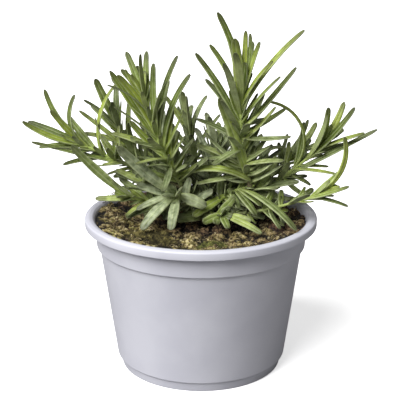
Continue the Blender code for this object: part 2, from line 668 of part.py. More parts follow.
def build_shoot(name, line, leaves, finish, blockers):
    """A stem and its leaves, grown together as one body."""
    radii = [stem_radius(SHOOTS[name], i / STEM_STEPS) for i in range(len(line))]
    kept, kept_radii = start_clear(line, radii, blockers)
    tip, ahead = point_on(line, 1.0)
    shoot = tube_object(name, kept + [tip + ahead * 2.0], kept_radii + [0.25], STEM_SIDES, finish)
    operands = bpy.data.collections.new(name + "_leaves")
    bpy.context.scene.collection.children.link(operands)
    for i, (midrib, _, _, stem_way, width) in enumerate(leaves):
        if (midrib[-1] - midrib[0]).length < SHORTEST_SOLID_LEAF:
            continue
        points, faces = blade(midrib, width, stem_way, LEAF_THICKNESS)
        leaf = mesh_object(f"{name}_leaf_{i}", points, faces, finish)
        bpy.context.scene.collection.objects.unlink(leaf)
        operands.objects.link(leaf)
    join = shoot.modifiers.new("Leaves", "BOOLEAN")
    join.operation = "UNION"
    join.solver = "MANIFOLD"
    join.operand_type = "COLLECTION"
    join.collection = operands
    settle_modifiers(shoot)
    keep_outer_shell(shoot.data)
    for leaf in list(operands.objects):
        bpy.data.objects.remove(leaf, do_unlink=True)
    bpy.data.collections.remove(operands)
    return shoot


def main():
    clear_scene()
    build_pot()
    build_compost()
    crown = build_crown()
    for name, spec in CUSHIONS.items():
        build_cushion(name, spec)
    lines = stem_lines()
    grown = grow_leaves(lines)
    finish = material("lavender_green", "6F8742", 0.7)
    blockers = [tree_of(crown)]
    for name in SHOOTS:
        shoot = build_shoot(name, lines[name], grown[name], finish, blockers)
        blockers.append(tree_of(shoot))
    bpy.context.view_layer.update()


main()
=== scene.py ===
import math
import random

import bpy
import numpy as np
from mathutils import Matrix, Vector, noise
from mathutils.bvhtree import BVHTree


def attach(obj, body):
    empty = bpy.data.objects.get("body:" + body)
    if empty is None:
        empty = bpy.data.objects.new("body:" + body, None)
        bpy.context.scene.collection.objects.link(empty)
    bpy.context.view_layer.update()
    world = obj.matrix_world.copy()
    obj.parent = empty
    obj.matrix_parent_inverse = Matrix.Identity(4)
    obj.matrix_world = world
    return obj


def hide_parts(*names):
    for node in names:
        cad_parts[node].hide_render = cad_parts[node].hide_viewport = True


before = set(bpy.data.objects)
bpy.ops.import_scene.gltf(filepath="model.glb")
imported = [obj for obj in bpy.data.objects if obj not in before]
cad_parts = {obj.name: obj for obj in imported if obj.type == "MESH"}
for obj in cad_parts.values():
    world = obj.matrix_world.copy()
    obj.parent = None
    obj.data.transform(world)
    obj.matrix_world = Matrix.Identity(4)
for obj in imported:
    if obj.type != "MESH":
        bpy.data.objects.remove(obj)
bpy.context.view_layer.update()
mm = 0.001
print("frame loaded:", len(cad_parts), "nodes")


def hexColour(code):
    channels = [int(code[i:i + 2], 16) / 255 for i in (0, 2, 4)]
    linear = [c / 12.92 if c <= 0.04045 else ((c + 0.055) / 1.055) ** 2.4 for c in channels]
    return (*linear, 1.0)


def feed(tree, node, feeds):
    # each input of the node gets a value or a link
    for key, value in feeds.items():
        socket = node.inputs[key] if isinstance(key, int) else next(
            s for s in node.inputs if s.enabled and s.name == key)
        if isinstance(value, bpy.types.Node):
            value = next(s for s in value.outputs if s.enabled)
        if isinstance(value, bpy.types.NodeSocket):
            tree.links.new(value, socket)
        else:
            socket.default_value = value


def addNode(tree, kind, feeds=None, **settings):
    # one node: settings are its own options, feeds are values or links for its inputs
    node = tree.nodes.new(kind)
    for key, value in settings.items():
        setattr(node, key, value)
    feed(tree, node, feeds or {})
    return node


def attributeOf(tree, name, output="Fac"):
    return addNode(tree, "ShaderNodeAttribute", attribute_name=name).outputs[output]


def objectPlace(tree):
    return addNode(tree, "ShaderNodeTexCoord").outputs["Object"]


def noiseOver(tree, place, scale, detail, **more):
    return addNode(tree, "ShaderNodeTexNoise", {"Vector": place, "Scale": scale, "Detail": detail, **more})


def ranged(tree, value, start, end, low=0.0, high=1.0):
    # the value carried over from start and end to low and high
    return addNode(tree, "ShaderNodeMapRange", {"Value": value, "From Min": start, "From Max": end,
                                                "To Min": low, "To Max": high})


def maths(tree, operation, *values):
    return addNode(tree, "ShaderNodeMath", dict(enumerate(values)), operation=operation)


def vectorMaths(tree, operation, one, other):
    feeds = {0: one, "Scale" if operation == "SCALE" else 1: other}
    return addNode(tree, "ShaderNodeVectorMath", feeds, operation=operation)


def colourRamp(tree, value, first, *others):
    # each stop is a position and a colour
    ramp = addNode(tree, "ShaderNodeValToRGB", {"Fac": value})
    stops = ramp.color_ramp.elements
    stops[0].position, stops[1].position = first[0], others[-1][0]
    stops[0].color, stops[1].color = hexColour(first[1]), hexColour(others[-1][1])
    for position, code in others[:-1]:
        stops.new(position).color = hexColour(code)
    return ramp


def mixed(tree, share, one, other, blend="MIX"):
    return addNode(tree, "ShaderNodeMix", {"Factor": share, 6: one, 7: other}, data_type="RGBA",
                   blend_type=blend).outputs[2]


def bump(tree, height, strength, distance):
    return addNode(tree, "ShaderNodeBump", {"Height": height, "Strength": strength, "Distance": distance})


def newMaterial(name):
    made = bpy.data.materials.new(name)
    made.use_nodes = True
    tree = made.node_tree
    return made, tree, tree.nodes["Principled BSDF"]


def newGeometryTree(name, inputs):
    # a Geometry Nodes tree with a Geometry input and output, and one named input of each kind given
    tree = bpy.data.node_groups.new(name, "GeometryNodeTree")
    tree.interface.new_socket("Geometry", in_out="INPUT", socket_type="NodeSocketGeometry")
    tree.interface.new_socket("Geometry", in_out="OUTPUT", socket_type="NodeSocketGeometry")
    for label, kind in inputs.items():
        tree.interface.new_socket(label, in_out="INPUT", socket_type="NodeSocket" + kind)
    return tree, tree.nodes.new("NodeGroupInput"), tree.nodes.new("NodeGroupOutput")


def closeTree(tree, given, result, geometry):
    # every tree ends alike: the finish goes on and the geometry goes out
    dressed = addNode(tree, "GeometryNodeSetMaterial",
                      {"Geometry": geometry, "Material": given.outputs["Finish"]})
    tree.links.new(dressed.outputs["Geometry"], result.inputs["Geometry"])
    return tree


def runTree(thing, tree, values):
    # set the inputs by identifier, evaluate, and keep the result as a plain mesh
    modifier = thing.modifiers.new(tree.name, "NODES")
    modifier.node_group = tree
    identifiers = {s.name: s.identifier for s in tree.interface.items_tree if s.in_out == "INPUT"}
    for label, value in values.items():
        modifier[identifiers[label]] = value
    graph = bpy.context.evaluated_depsgraph_get()
    mesh = bpy.data.meshes.new_from_object(thing.evaluated_get(graph), preserve_all_data_layers=True,
                                           depsgraph=graph)
    thing.modifiers.remove(modifier)
    thing.data = mesh
    turnOutwards(mesh)
    return thing


def turnOutwards(mesh):
    mesh.calc_loop_triangles()
    points = np.array([v.co for v in mesh.vertices])
    corners = points[np.array([t.vertices for t in mesh.loop_triangles])]
    if np.einsum("ij,ij->i", corners[:, 0], np.cross(corners[:, 1], corners[:, 2])).sum() < 0:
        mesh.flip_normals()


def meshObject(name, points, faces, finish=None, edges=()):
    mesh = bpy.data.meshes.new(name)
    mesh.from_pydata([Vector(p) * mm for p in points], list(edges), faces)
    if finish:
        mesh.materials.append(finish)
    mesh.shade_smooth()
    thing = bpy.data.objects.new(name, mesh)
    bpy.context.scene.collection.objects.link(thing)
    return thing


def storeAttribute(mesh, name, kind, values):
    layer = mesh.attributes.new(name, kind, "POINT")
    slot = "vector" if kind == "FLOAT_VECTOR" else "value"
    layer.data.foreach_set(slot, np.array(values, np.float32).ravel())


view = dict(distance=600, elevation=17.1, aim=(-0.5, 0, 94.5), lens=97.2, sensor=36)
studio = dict(sunHeading=227, sunRise=45, sunPower=4.9, sunSoftness=46, skyFill=0.20,
              floorSize=12000, floorGlow=0.58, floorBounce="8C8C8C")


def buildStudio():
    scene = bpy.context.scene
    rise = math.radians(view["elevation"])
    back = Vector((0, -math.cos(rise), math.sin(rise)))
    data = bpy.data.cameras.new("camera")
    data.lens = view["lens"]
    data.sensor_width = view["sensor"]
    camera = bpy.data.objects.new("camera", data)
    camera.location = (Vector(view["aim"]) + back * view["distance"]) * mm
    camera.rotation_euler = (-back).to_track_quat("-Z", "Y").to_euler()
    scene.collection.objects.link(camera)
    scene.camera = camera
    scene.view_settings.view_transform = "Standard"

    heading, height = math.radians(studio["sunHeading"]), math.radians(studio["sunRise"])
    towards = Vector((math.cos(heading) * math.cos(height), math.sin(heading) * math.cos(height),
                      math.sin(height)))
    lamp = bpy.data.lights.new("softSun", "SUN")
    lamp.energy = studio["sunPower"]
    lamp.angle = math.radians(studio["sunSoftness"])
    sun = bpy.data.objects.new("softSun", lamp)
    sun.rotation_euler = towards.to_track_quat("Z", "Y").to_euler()
    scene.collection.objects.link(sun)

    world = bpy.data.worlds.new("studioSky")
    world.use_nodes = True
    scene.world = world
    tree = world.node_tree
    seen = addNode(tree, "ShaderNodeLightPath").outputs["Is Camera Ray"]
    feed(tree, tree.nodes["Background"], {"Color": (1, 1, 1, 1),
                                          "Strength": ranged(tree, seen, 0.0, 1.0, studio["skyFill"])})

    # pale studio floor: lit past white where seen, duller where it bounces light back
    finish, tree, shader = newMaterial("paleStudioFloor")
    seen = addNode(tree, "ShaderNodeLightPath").outputs["Is Camera Ray"]
    feed(tree, shader, {"Base Color": mixed(tree, seen, hexColour(studio["floorBounce"]), (1, 1, 1, 1)),
                        "Emission Strength": maths(tree, "MULTIPLY", seen, studio["floorGlow"]),
                        "Emission Color": (1, 1, 1, 1), "Roughness": 0.9, "Specular IOR Level": 0.0})
    half = studio["floorSize"] / 2
    floor = meshObject("studioFloor", [(-half, -half, 0), (half, -half, 0), (half, half, 0),
                                       (-half, half, 0)],
                       [(0, 1, 2, 3)], finish)
    print("studio ready")


# growth of the plant, by the same rules as its solids
growth = dict(stemSteps=8, stemSides=5, stemTaper=0.62, neck=0.36, widest=0.56, narrowing=0.30,
              bluntFrom=0.80, thickness=0.9, clearance=0.7, closeClearance=0.3, outerPart=0.3, leafSteps=10,
              root=0.6, seed=8, lightWay=Vector((-0.20, -0.50, 0.65)), tubeSide=Vector((0.31, 0.95, 0.05)),
              stations=(0.0, 0.22, 0.60, 0.90))
# where leaves may grow: above the cushions inside the lip, above the lip over it, and no further out than
# this
room = dict(leafFloor=86.6, overLip=88.0, lipInner=59.6, lipRadius=64.5, spread=97.6)
# how far leaves lean from their stem at their first and last part: least, added with age, power of age
habit = dict(firstLean=(8, 58, 1.2), lastLean=(28, 34, 0.7), rollSpread=16, leanSpread=7, lift=(-14, 16),
             length=(0.88, 1.1), width=(0.85, 1.1), sizes=(0.45, 0.60, 0.6), crowding=1.35, topmost=0.985)
tuft = dict(topmost=0.97, later=0.4, missing=0.3, quarters=(45, 225, 135, 315), rollSpread=20,
            lean=(24, 30, 1), leanSpread=8, lift=(-10, 20), length=(0.32, 0.62), width=(0.5, 0.75))
oldLeaf = dict(perPair=2, place=(0.03, 0.65), lean=(45, 92), aside=(-20, 20), lift=(-35, 35),
               length=(0.45, 0.85), width=(0.85, 1.2))
# what a leaf tries in turn where there is no room for it: aside and up in degrees, and shorter
leafTurns = ((0, 0), (9, 0), (-9, 0), (0, 9), (0, -9), (18, 5), (-18, 5), (0, 18), (28, 0), (-28, 0),
             (14, 24), (-14, 24), (40, 10), (-40, 10))
leafShortenings = (1.0, 0.82, 0.66)

# one row for each shoot: its foot, or the shoot that it forks from and how far up; which way it heads and
# rises, how long it is, and how it lifts and swings on the way; girth, pairs of leaves, their length and
# width, bare share of its foot, turn of the first pair, and how far its leaves have gone from green to grey
shootKeys = ("foot", "heading", "rise", "length", "lift", "swing", "girth", "pairs", "leaf", "width", "bare",
             "turn", "grey")
shootRows = {
    "tall_left_shoot": ((0, 2, 86), 225, 50, 80, 28, -45, 3.2, 9, 33, 4.4, 0.20, 50, 0.05),
    "front_branch": ((4, 1, 86), -55, 60, 36, -50, 55, 3.0, 3, 20, 4.6, 0.40, 40, 0.12),
    "tall_right_shoot": (("front_branch", 0.93), 165, 74, 54, 22, 0, 3.2, 11, 34, 4.4, 0.14, 0, 0.0),
    "east_shoot": ((5, 4, 86), 2, 19, 78, 28, -6, 2.8, 7, 28, 4.0, 0.22, 35, 0.0),
    "northeast_shoot": ((4, 7, 86), 22, 20, 62, 20, -14, 2.6, 9, 28, 4.0, 0.22, 70, 0.25),
    "front_right_shoot": ((5, -1, 86), -38, 10, 69, 12, 50, 2.6, 5, 20, 3.8, 0.24, 15, 0.0),
    "west_shoot": (("tall_left_shoot", 0.27), 172, 20, 62, 8, 14, 2.8, 7, 28, 4.0, 0.26, 20, 0.0),
    "northwest_shoot": (("tall_left_shoot", 0.24), 142, 10, 56, 62, 48, 2.6, 8, 28, 4.2, 0.20, 60, 0.1),
    "west_low_shoot": ((-3, 1, 87), 208, 24, 44, -8, -4, 2.4, 5, 20, 4.6, 0.26, 30, 0.2),
    "front_left_shoot": ((-2, -2, 87), 238, 46, 26, -14, -12, 2.4, 4, 22, 5.2, 0.30, 0, 0.95),
    "front_shoot": ((3, -3, 87), -68, 16, 19, 0, 10, 2.2, 3, 16, 4.8, 0.35, 50, 0.3),
    "back_shoot": ((1, 7, 87), 100, 55, 50, 15, 25, 2.6, 9, 28, 4.2, 0.14, 25, 0.4),
    "north_shoot": ((4, 8, 86), 72, 28, 46, 14, 12, 2.4, 8, 26, 4.2, 0.14, 80, 0.3),
    "north_low_shoot": ((-2, 7, 86), 128, 16, 44, 18, -8, 2.4, 8, 26, 4.4, 0.14, 45, 0.3),
    "middle_shoot": ((3, 4, 88), 60, 66, 34, 10, 0, 2.2, 9, 27, 4.8, 0.08, 15, 0.85),
    "middle_left_shoot": ((-2, 4, 88), 158, 44, 38, 16, -10, 2.2, 9, 27, 4.8, 0.08, 60, 0.8),
    "middle_right_shoot": ((5, 2, 88), 20, 46, 32, 10, 8, 2.2, 9, 27, 4.8, 0.08, 30, 0.85),
    "southeast_shoot": ((5, 0, 87), -14, 32, 34, 0, -6, 2.2, 8, 24, 4.8, 0.12, 75, 0.5),
    "southwest_shoot": ((-3, 0, 87), 188, 34, 34, 0, 8, 2.2, 8, 24, 4.8, 0.12, 10, 0.5),
}
shoots = {name: dict(zip(shootKeys, row)) for name, row in shootRows.items()}

# leaves that give the plant its outline: how far up the shoot, heading, rise, length, width, lift
featureLeaves = {
    "tall_left_shoot": (
        (0.62, 178, 57, 49, 4.2, 0), (0.69, 195, 71, 41, 4.8, -24), (0.84, 170, 78, 30, 4.0, -38),
        (0.69, 240, 74, 41, 5.4, 24), (0.65, 0, 95, 49, 4.6, -34), (0.58, -6, 90, 46, 5.2, -38),
        (0.41, 200, 68, 36, 5.8, 42), (0.52, 175, 43, 29, 4.8, 6), (0.37, -10, 34, 44, 5.6, -68),
        (0.27, 234, -34, 30, 6.6, -12), (0.28, 205, -12, 24, 4.8, -14), (0.24, -40, 4, 21, 6.2, -8),
        (0.19, -110, -26, 20, 6.0, 0),
    ),
    "tall_right_shoot": (
        (0.95, 180, 86, 46, 4.4, -26), (0.80, 222, 86, 39, 6.0, -8), (0.97, 0, 86, 33, 3.4, 3),
        (0.97, -10, 72, 32, 3.4, 22), (0.78, 0, 66, 55, 5.0, -26), (0.56, 0, 50, 46, 5.0, 2),
        (0.60, 178, 67, 48, 4.8, -16), (0.08, 205, 72, 50, 6.2, -6), (0.05, 188, 46, 36, 6.2, -30),
        (0.54, 6, 26, 28, 4.8, 8), (0.06, 196, 60, 34, 6.4, -20),
    ),
    "east_shoot": (
        (0.54, -4, 29, 62, 4.0, 0), (0.79, -16, 42, 41, 4.8, 16), (0.88, -24, 62, 27, 4.2, 26),
        (0.66, 0, 42, 53, 3.6, 134), (0.18, 14, 4, 60, 2.6, -12),
    ),
    "front_right_shoot": (
        (0.97, 2, 32, 35, 4.0, 76), (0.80, -14, 17, 27, 4.0, 6),
    ),
    "west_shoot": (
        (0.97, 174, 26, 32, 4.2, -8), (0.97, 192, 10, 35, 4.8, 28), (0.56, 190, 16, 52, 3.8, 0),
        (0.97, 160, 32, 37, 3.6, 42), (0.98, 205, 44, 30, 5.4, 80), (0.78, 40, 112, 43, 4.0, -78),
    ),
    "northwest_shoot": (
        (0.97, 192, 64, 30, 4.8, 4), (0.60, 172, 41, 42, 3.2, -6), (0.52, 222, 46, 26, 5.2, 20),
    ),
    "west_low_shoot": ((0.98, 190, 40, 42, 5.4, 10), (0.45, 214, 0, 26, 5.0, -14)),
    "front_left_shoot": (
        (0.98, 198, 38, 43, 6.4, 10), (0.96, 218, -28, 28, 7.4, -30), (0.90, 262, -34, 25, 6.6, -32),
        (0.92, -15, -6, 18, 7.0, -22), (0.97, 196, -4, 23, 4.6, -26), (0.80, 208, -14, 24, 6.0, -22),
        (0.70, 160, 30, 20, 4.4, 0),
    ),
    "front_branch": (
        (0.80, -42, -4, 42, 5.8, -36), (0.70, -48, -20, 20, 5.6, -24), (0.50, 218, -14, 24, 5.6, -10),
        (0.55, -30, -6, 17, 6.6, -26),
    ),
    "front_shoot": (
        (0.98, 222, -4, 14, 5.0, -6), (0.98, -75, -8, 14, 4.4, -16), (0.96, -38, 0, 28, 4.2, -22),
        (0.30, 214, 2, 23, 6.8, -16), (0.95, -20, 0, 18, 4.6, -10),
    ),
}


def direction(heading, rise):
    h, r = math.radians(heading), math.radians(rise)
    return Vector((math.cos(h) * math.cos(r), math.sin(h) * math.cos(r), math.sin(r)))


def growthLine(foot, heading, rise, length, lift, swing, steps):
    line = [Vector(foot)]
    for i in range(steps):
        t = (i + 0.5) / steps
        line.append(line[-1] + direction(heading + swing * t, rise + lift * t) * (length / steps))
    return line


def bladeLine(foot, first, last, length, steps):
    # a leaf turns evenly from its first way to its last
    line = [Vector(foot)]
    for i in range(steps):
        line.append(line[-1] + first.slerp(last, (i + 0.5) / steps, first) * (length / steps))
    return line


def turned(way, aside, up):
    heading = math.degrees(math.atan2(way.y, way.x))
    return direction(heading + aside, math.degrees(math.asin(max(-1.0, min(1.0, way.z)))) + up)


def pointOn(line, place):
    at = min(max(place, 0.0), 0.9999) * (len(line) - 1)
    i = int(at)
    step = line[i + 1] - line[i]
    return line[i] + step * (at - i), step.normalized()


def leafWidth(t):
    # narrow at the stem, widest past the middle, then a little narrower up to a blunt end
    if t < growth["widest"]:
        return growth["neck"] + (1 - growth["neck"]) * math.sin(0.5 * math.pi * t / growth["widest"])
    beyond = (t - growth["widest"]) / (1 - growth["widest"])
    end = max(0.0, (beyond - growth["bluntFrom"]) / (1 - growth["bluntFrom"]))
    return (1 - growth["narrowing"] * beyond) * math.sqrt(1 - end ** 2)


def bladeSide(line, stemWay):
    # the way across a leaf, so that its upper face looks to the stem and to the light
    _, ahead = pointOn(line, 0.4)
    side = ahead.cross(stemWay + growth["lightWay"])
    return ahead.cross(stemWay) if side.length < 0.2 else side


def simpleBlade(line, width, stemWay, thickness, start=0.0):
    points = []
    side = bladeSide(line, stemWay)
    stations = [t for t in growth["stations"] if t >= start]
    for t in stations:
        middle, ahead = pointOn(line, t)
        side = (side - ahead * side.dot(ahead)).normalized()
        over = side.cross(ahead)
        half = 0.5 * width * leafWidth(t)
        points += [middle + side * half, middle - side * half, middle - over * (thickness * (1.1 - 0.4 * t))]
    points.append(line[-1])
    faces = [(0, 1, 2)]
    for i in range(len(stations) - 1):
        for j in range(3):
            k = (j + 1) % 3
            faces.append((3 * i + k, 3 * i + j, 3 * i + 3 + j, 3 * i + 3 + k))
    last, tip = 3 * (len(stations) - 1), len(points) - 1
    faces += [(last + 1, last, tip), (last + 2, last + 1, tip), (last, last + 2, tip)]
    return points, faces


def simpleTube(line, radii, sides):
    points = []
    for i, (middle, radius) in enumerate(zip(line, radii)):
        ahead = (line[min(i + 1, len(line) - 1)] - line[max(i - 1, 0)]).normalized()
        across = ahead.cross(growth["tubeSide"]).normalized()
        up = across.cross(ahead)
        for j in range(sides):
            turn = 2 * math.pi * j / sides
            points.append(middle + across * (radius * math.cos(turn)) + up * (radius * math.sin(turn)))
    faces = [tuple(range(sides))]
    for i in range(len(line) - 1):
        for j in range(sides):
            k = (j + 1) % sides
            low, high = i * sides, (i + 1) * sides
            faces.append((low + k, low + j, high + j, high + k))
    faces.append(tuple(range(len(points) - 1, len(points) - sides - 1, -1)))
    return points, faces


def stemRadius(shoot, t):
    return shoot["girth"] / 2 * (1 - growth["stemTaper"] * t)


def opening(lean, age):
    return lean[0] + lean[1] * age ** lean[2]


def outwardAt(ahead, roll):
    # the way out of a stem, rolled round it by so many degrees
    across = ahead.cross(Vector((0, 0, 1))).normalized()
    over = across.cross(ahead)
    return across * math.cos(math.radians(roll)) + over * math.sin(math.radians(roll))


def spread(rng, size):
    return rng.uniform(-size, size)


def ruleLeaves(shoot, line, rng):
    leaves = []
    for k in range(shoot["pairs"]):
        age = 1 - k / (shoot["pairs"] - 1)
        place = shoot["bare"] + (habit["topmost"] - shoot["bare"]) * (1 - age ** habit["crowding"])
        _, ahead = pointOn(line, place)
        least, added, power = habit["sizes"]
        size = least + added * math.sin(math.pi * age ** power)
        for halfTurn in (0, 180):
            outward = outwardAt(ahead, shoot["turn"] + 90 * k + halfTurn + spread(rng, habit["rollSpread"]))
            unevenness = spread(rng, habit["leanSpread"])
            first = leaning(ahead, outward, opening(habit["firstLean"], age) + unevenness)
            last = leaning(ahead, outward, opening(habit["lastLean"], age) + unevenness)
            length = shoot["leaf"] * size * rng.uniform(*habit["length"])
            width = shoot["width"] * rng.uniform(*habit["width"])
            leaves.append((place, first, turned(last, 0, rng.uniform(*habit["lift"])), length, width))
    return leaves


def leaning(ahead, outward, angle):
    return ahead * math.cos(math.radians(angle)) + outward * math.sin(math.radians(angle))


def clearOfPot(points):
    for p in points:
        fromAxis = math.hypot(p.x, p.y)
        lowest = room["leafFloor"] if fromAxis < room["lipInner"] - 4 else room["overLip"]
        if fromAxis < room["lipRadius"] + 2.5 and p.z < lowest:
            return False
        if abs(p.x) > room["spread"] or abs(p.y) > room["lipRadius"] - 1:
            return False
    return True


def settleLeaf(leaf, line, own, others, gap):
    # a leaf gives way to what already stands there: it turns aside, rises, stays shorter or isn't grown
    place, first, last, length, width = leaf
    foot, ahead = pointOn(line, place)
    foot = foot - first * growth["root"]
    thick = growth["thickness"]
    for shorter in leafShortenings:
        for aside, up in leafTurns:
            grown = (foot, turned(first, aside, up), turned(last, aside, up), length * shorter)
            midrib = bladeLine(*grown, growth["leafSteps"])
            points, faces = simpleBlade(midrib, width + gap, ahead, thick + gap)
            outerPoints, outerFaces = simpleBlade(midrib, width, ahead, thick, growth["outerPart"])
            if not clearOfPot(outerPoints):
                continue
            whole = BVHTree.FromPolygons(points, faces)
            outer = BVHTree.FromPolygons(outerPoints, outerFaces)
            if any(whole.overlap(tree) for tree in others) or any(outer.overlap(tree) for tree in own):
                continue
            return dict(grown=grown, whole=whole, outer=outer, stemWay=ahead, width=width, place=place)
    return None


def stemLines():
    lines = {}
    for name, shoot in shoots.items():
        foot = shoot["foot"]
        if foot[0] in lines:
            foot, _ = pointOn(lines[foot[0]], foot[1])
        lines[name] = growthLine(foot, shoot["heading"], shoot["rise"], shoot["length"], shoot["lift"],
                                 shoot["swing"], growth["stemSteps"])
    return lines


def tuftLeaves(shoot, line, rng):
    # young leaves in the joints of the pairs: short, upright and narrow
    leaves = []
    for k in range(shoot["pairs"] - 1):
        age = 1 - (k + tuft["later"]) / (shoot["pairs"] - 1)
        place = shoot["bare"] + (tuft["topmost"] - shoot["bare"]) * (1 - max(age, 0) ** habit["crowding"])
        _, ahead = pointOn(line, place)
        for quarter in tuft["quarters"]:
            if rng.random() < tuft["missing"]:
                continue
            outward = outwardAt(ahead, shoot["turn"] + 90 * k + quarter + spread(rng, tuft["rollSpread"]))
            first = leaning(ahead, outward, opening(tuft["lean"], age) + spread(rng, tuft["leanSpread"]))
            leaves.append((place, first, turned(first, 0, rng.uniform(*tuft["lift"])),
                           shoot["leaf"] * rng.uniform(*tuft["length"]),
                           shoot["width"] * rng.uniform(*tuft["width"])))
    return leaves


def oldLeaves(shoot, line, rng):
    # old grey leaves that stay low on the shoots and fill the middle of the plant
    leaves = []
    for _ in range(oldLeaf["perPair"] * shoot["pairs"]):
        place = rng.uniform(*oldLeaf["place"])
        _, ahead = pointOn(line, place)
        first = leaning(ahead, outwardAt(ahead, rng.uniform(0, 360)), rng.uniform(*oldLeaf["lean"]))
        leaves.append((place, first, turned(first, rng.uniform(*oldLeaf["aside"]),
                                            rng.uniform(*oldLeaf["lift"])),
                       shoot["leaf"] * rng.uniform(*oldLeaf["length"]),
                       shoot["width"] * rng.uniform(*oldLeaf["width"])))
    return leaves


def growPlant():
    rng = random.Random(growth["seed"])
    lines = stemLines()
    stems = {}
    for name, line in lines.items():
        radii = [stemRadius(shoots[name], i / growth["stemSteps"]) + 0.3 for i in range(len(line))]
        stems[name] = BVHTree.FromPolygons(*simpleTube(line, radii, growth["stemSides"]))
    wanted = []
    for name in shoots:
        for place, heading, rise, length, width, lift in featureLeaves.get(name, ()):
            first, last = direction(heading, rise), direction(heading, rise + lift)
            wanted.append((name, (place, first, last, length, width), "feature"))
    for kind, rule in (("pair", ruleLeaves), ("tuft", tuftLeaves), ("old", oldLeaves)):
        for name, shoot in shoots.items():
            wanted += [(name, leaf, kind) for leaf in rule(shoot, lines[name], rng)]
    grown = {name: [] for name in shoots}
    for name, leaf, kind in wanted:
        others = [tree for other, tree in stems.items() if other != name]
        others += [blade["whole"] for other in shoots if other != name for blade in grown[other]]
        own = [blade["outer"] for blade in grown[name]]
        gap = growth["closeClearance" if kind in ("tuft", "old") else "clearance"]
        settled = settleLeaf(leaf, lines[name], own, others, gap)
        if settled:
            settled["kind"] = kind
            grown[name].append(settled)
    print("leaves grown:", sum(len(leaves) for leaves in grown.values()))
    return lines, grown


# section of a lavender leaf: grooved above, edges rolled under, raised midrib below
leafSection = ((-1.0, -0.25), (-0.84, 0.34), (-0.46, 0.60), (-0.13, 0.42), (0.0, 0.16), (0.13, 0.42),
               (0.46, 0.60), (0.84, 0.34), (1.0, -0.25), (0.88, -0.74), (0.56, -0.40), (0.2, -0.46),
               (0.0, -0.78), (-0.2, -0.46), (-0.56, -0.40), (-0.88, -0.74))
leafBlade = dict(stations=18, lineSteps=24, crowding=1.5, bluntest=0.12, thickShare=0.13, thickLeast=0.30,
                 tipThick=0.55, footThick=1.15)
# how old leaves look by kind: younger than their place on the shoot tells, and how fast they turn grey
younger = dict(feature=0.3, pair=0.1, tuft=0.15, old=-0.25)
greying = dict(most=0.55, power=1.6, spread=0.12)


def sectionObject(name, section):
    ring = meshObject(name, [(x, y, 0) for x, y in section], [],
                      edges=[(i, (i + 1) % len(section)) for i in range(len(section))])
    storeAttribute(ring.data, "section", "FLOAT_VECTOR", [(x, y, 0) for x, y in section])
    ring.hide_render = True
    return ring


def pathsObject(name, paths):
    # one open polyline for each path; a path is a list of points with the same named values on each
    points, edges = [], []
    for path in paths:
        start = len(points)
        points += [p["centre"] for p in path]
        edges += [(start + i, start + i + 1) for i in range(len(path) - 1)]
    thing = meshObject(name, points, [], edges=edges)
    for key, value in paths[0][0].items():
        values = [p[key] * mm if key == "centre" else p[key] for path in paths for p in path]
        storeAttribute(thing.data, key, "FLOAT_VECTOR" if isinstance(value, Vector) else "FLOAT", values)
    return thing


def buildSweepTree():
    # sweeps a closed section along every path; each point of a path says how wide and thick it is there
    tree, given, result = newGeometryTree("sweepSection", {
        "Section": "Object", "Width scale": "Float", "Thickness scale": "Float", "Finish": "Material"})
    path = addNode(tree, "GeometryNodeMeshToCurve", {"Mesh": given.outputs["Geometry"]})
    ring = addNode(tree, "GeometryNodeObjectInfo", {"Object": given.outputs["Section"]})
    outline = addNode(tree, "GeometryNodeMeshToCurve", {"Mesh": ring.outputs["Geometry"]})
    skin = addNode(tree, "GeometryNodeCurveToMesh",
                   {"Curve": path, "Profile Curve": outline, "Fill Caps": True})

    def named(label, kind="FLOAT_VECTOR"):
        return addNode(tree, "GeometryNodeInputNamedAttribute", {"Name": label}, data_type=kind)

    xyz = addNode(tree, "ShaderNodeSeparateXYZ", {0: named("section")})
    across = maths(tree, "MULTIPLY", xyz.outputs["X"],
                   maths(tree, "MULTIPLY", named("halfWidth", "FLOAT"), given.outputs["Width scale"]))
    above = maths(tree, "MULTIPLY", xyz.outputs["Y"],
                  maths(tree, "MULTIPLY", named("halfThick", "FLOAT"), given.outputs["Thickness scale"]))
    offset = vectorMaths(tree, "ADD", vectorMaths(tree, "SCALE", named("side"), across),
                         vectorMaths(tree, "SCALE", named("over"), above))
    place = vectorMaths(tree, "ADD", named("centre"), offset)
    shaped = addNode(tree, "GeometryNodeSetPosition", {"Geometry": skin, "Position": place})
    smooth = addNode(tree, "GeometryNodeSetShadeSmooth", {"Geometry": shaped})
    return closeTree(tree, given, result, addNode(tree, "GeometryNodeRealizeInstances", {"Geometry": smooth}))


def leafPath(leaf, shoot, rng):
    line = bladeLine(*leaf["grown"], leafBlade["lineSteps"])
    side = bladeSide(line, leaf["stemWay"])
    shade, path = rng.random(), []
    age = clamped(1 - leaf["place"] - younger[leaf["kind"]])
    grey = clamped(shoot["grey"] + greying["most"] * age ** greying["power"] + spread(rng, greying["spread"]))
    halfThick = leafBlade["thickLeast"] + leafBlade["thickShare"] * leaf["width"]
    steps = leafBlade["stations"]
    for i in range(steps + 1):
        t = 1 - (1 - i / steps) ** leafBlade["crowding"]
        middle, ahead = pointOn(line, t)
        side = (side - ahead * side.dot(ahead)).normalized()
        blunt = max(leafWidth(min(t, 0.995)), leafBlade["bluntest"])
        taper = leafBlade["footThick"] + (leafBlade["tipThick"] - leafBlade["footThick"]) * t
        path.append(dict(centre=middle, side=side.copy(), over=side.cross(ahead), along=t, grey=grey,
                         shade=shade, halfWidth=0.5 * leaf["width"] * blunt * mm,
                         halfThick=halfThick * taper * mm))
    return path


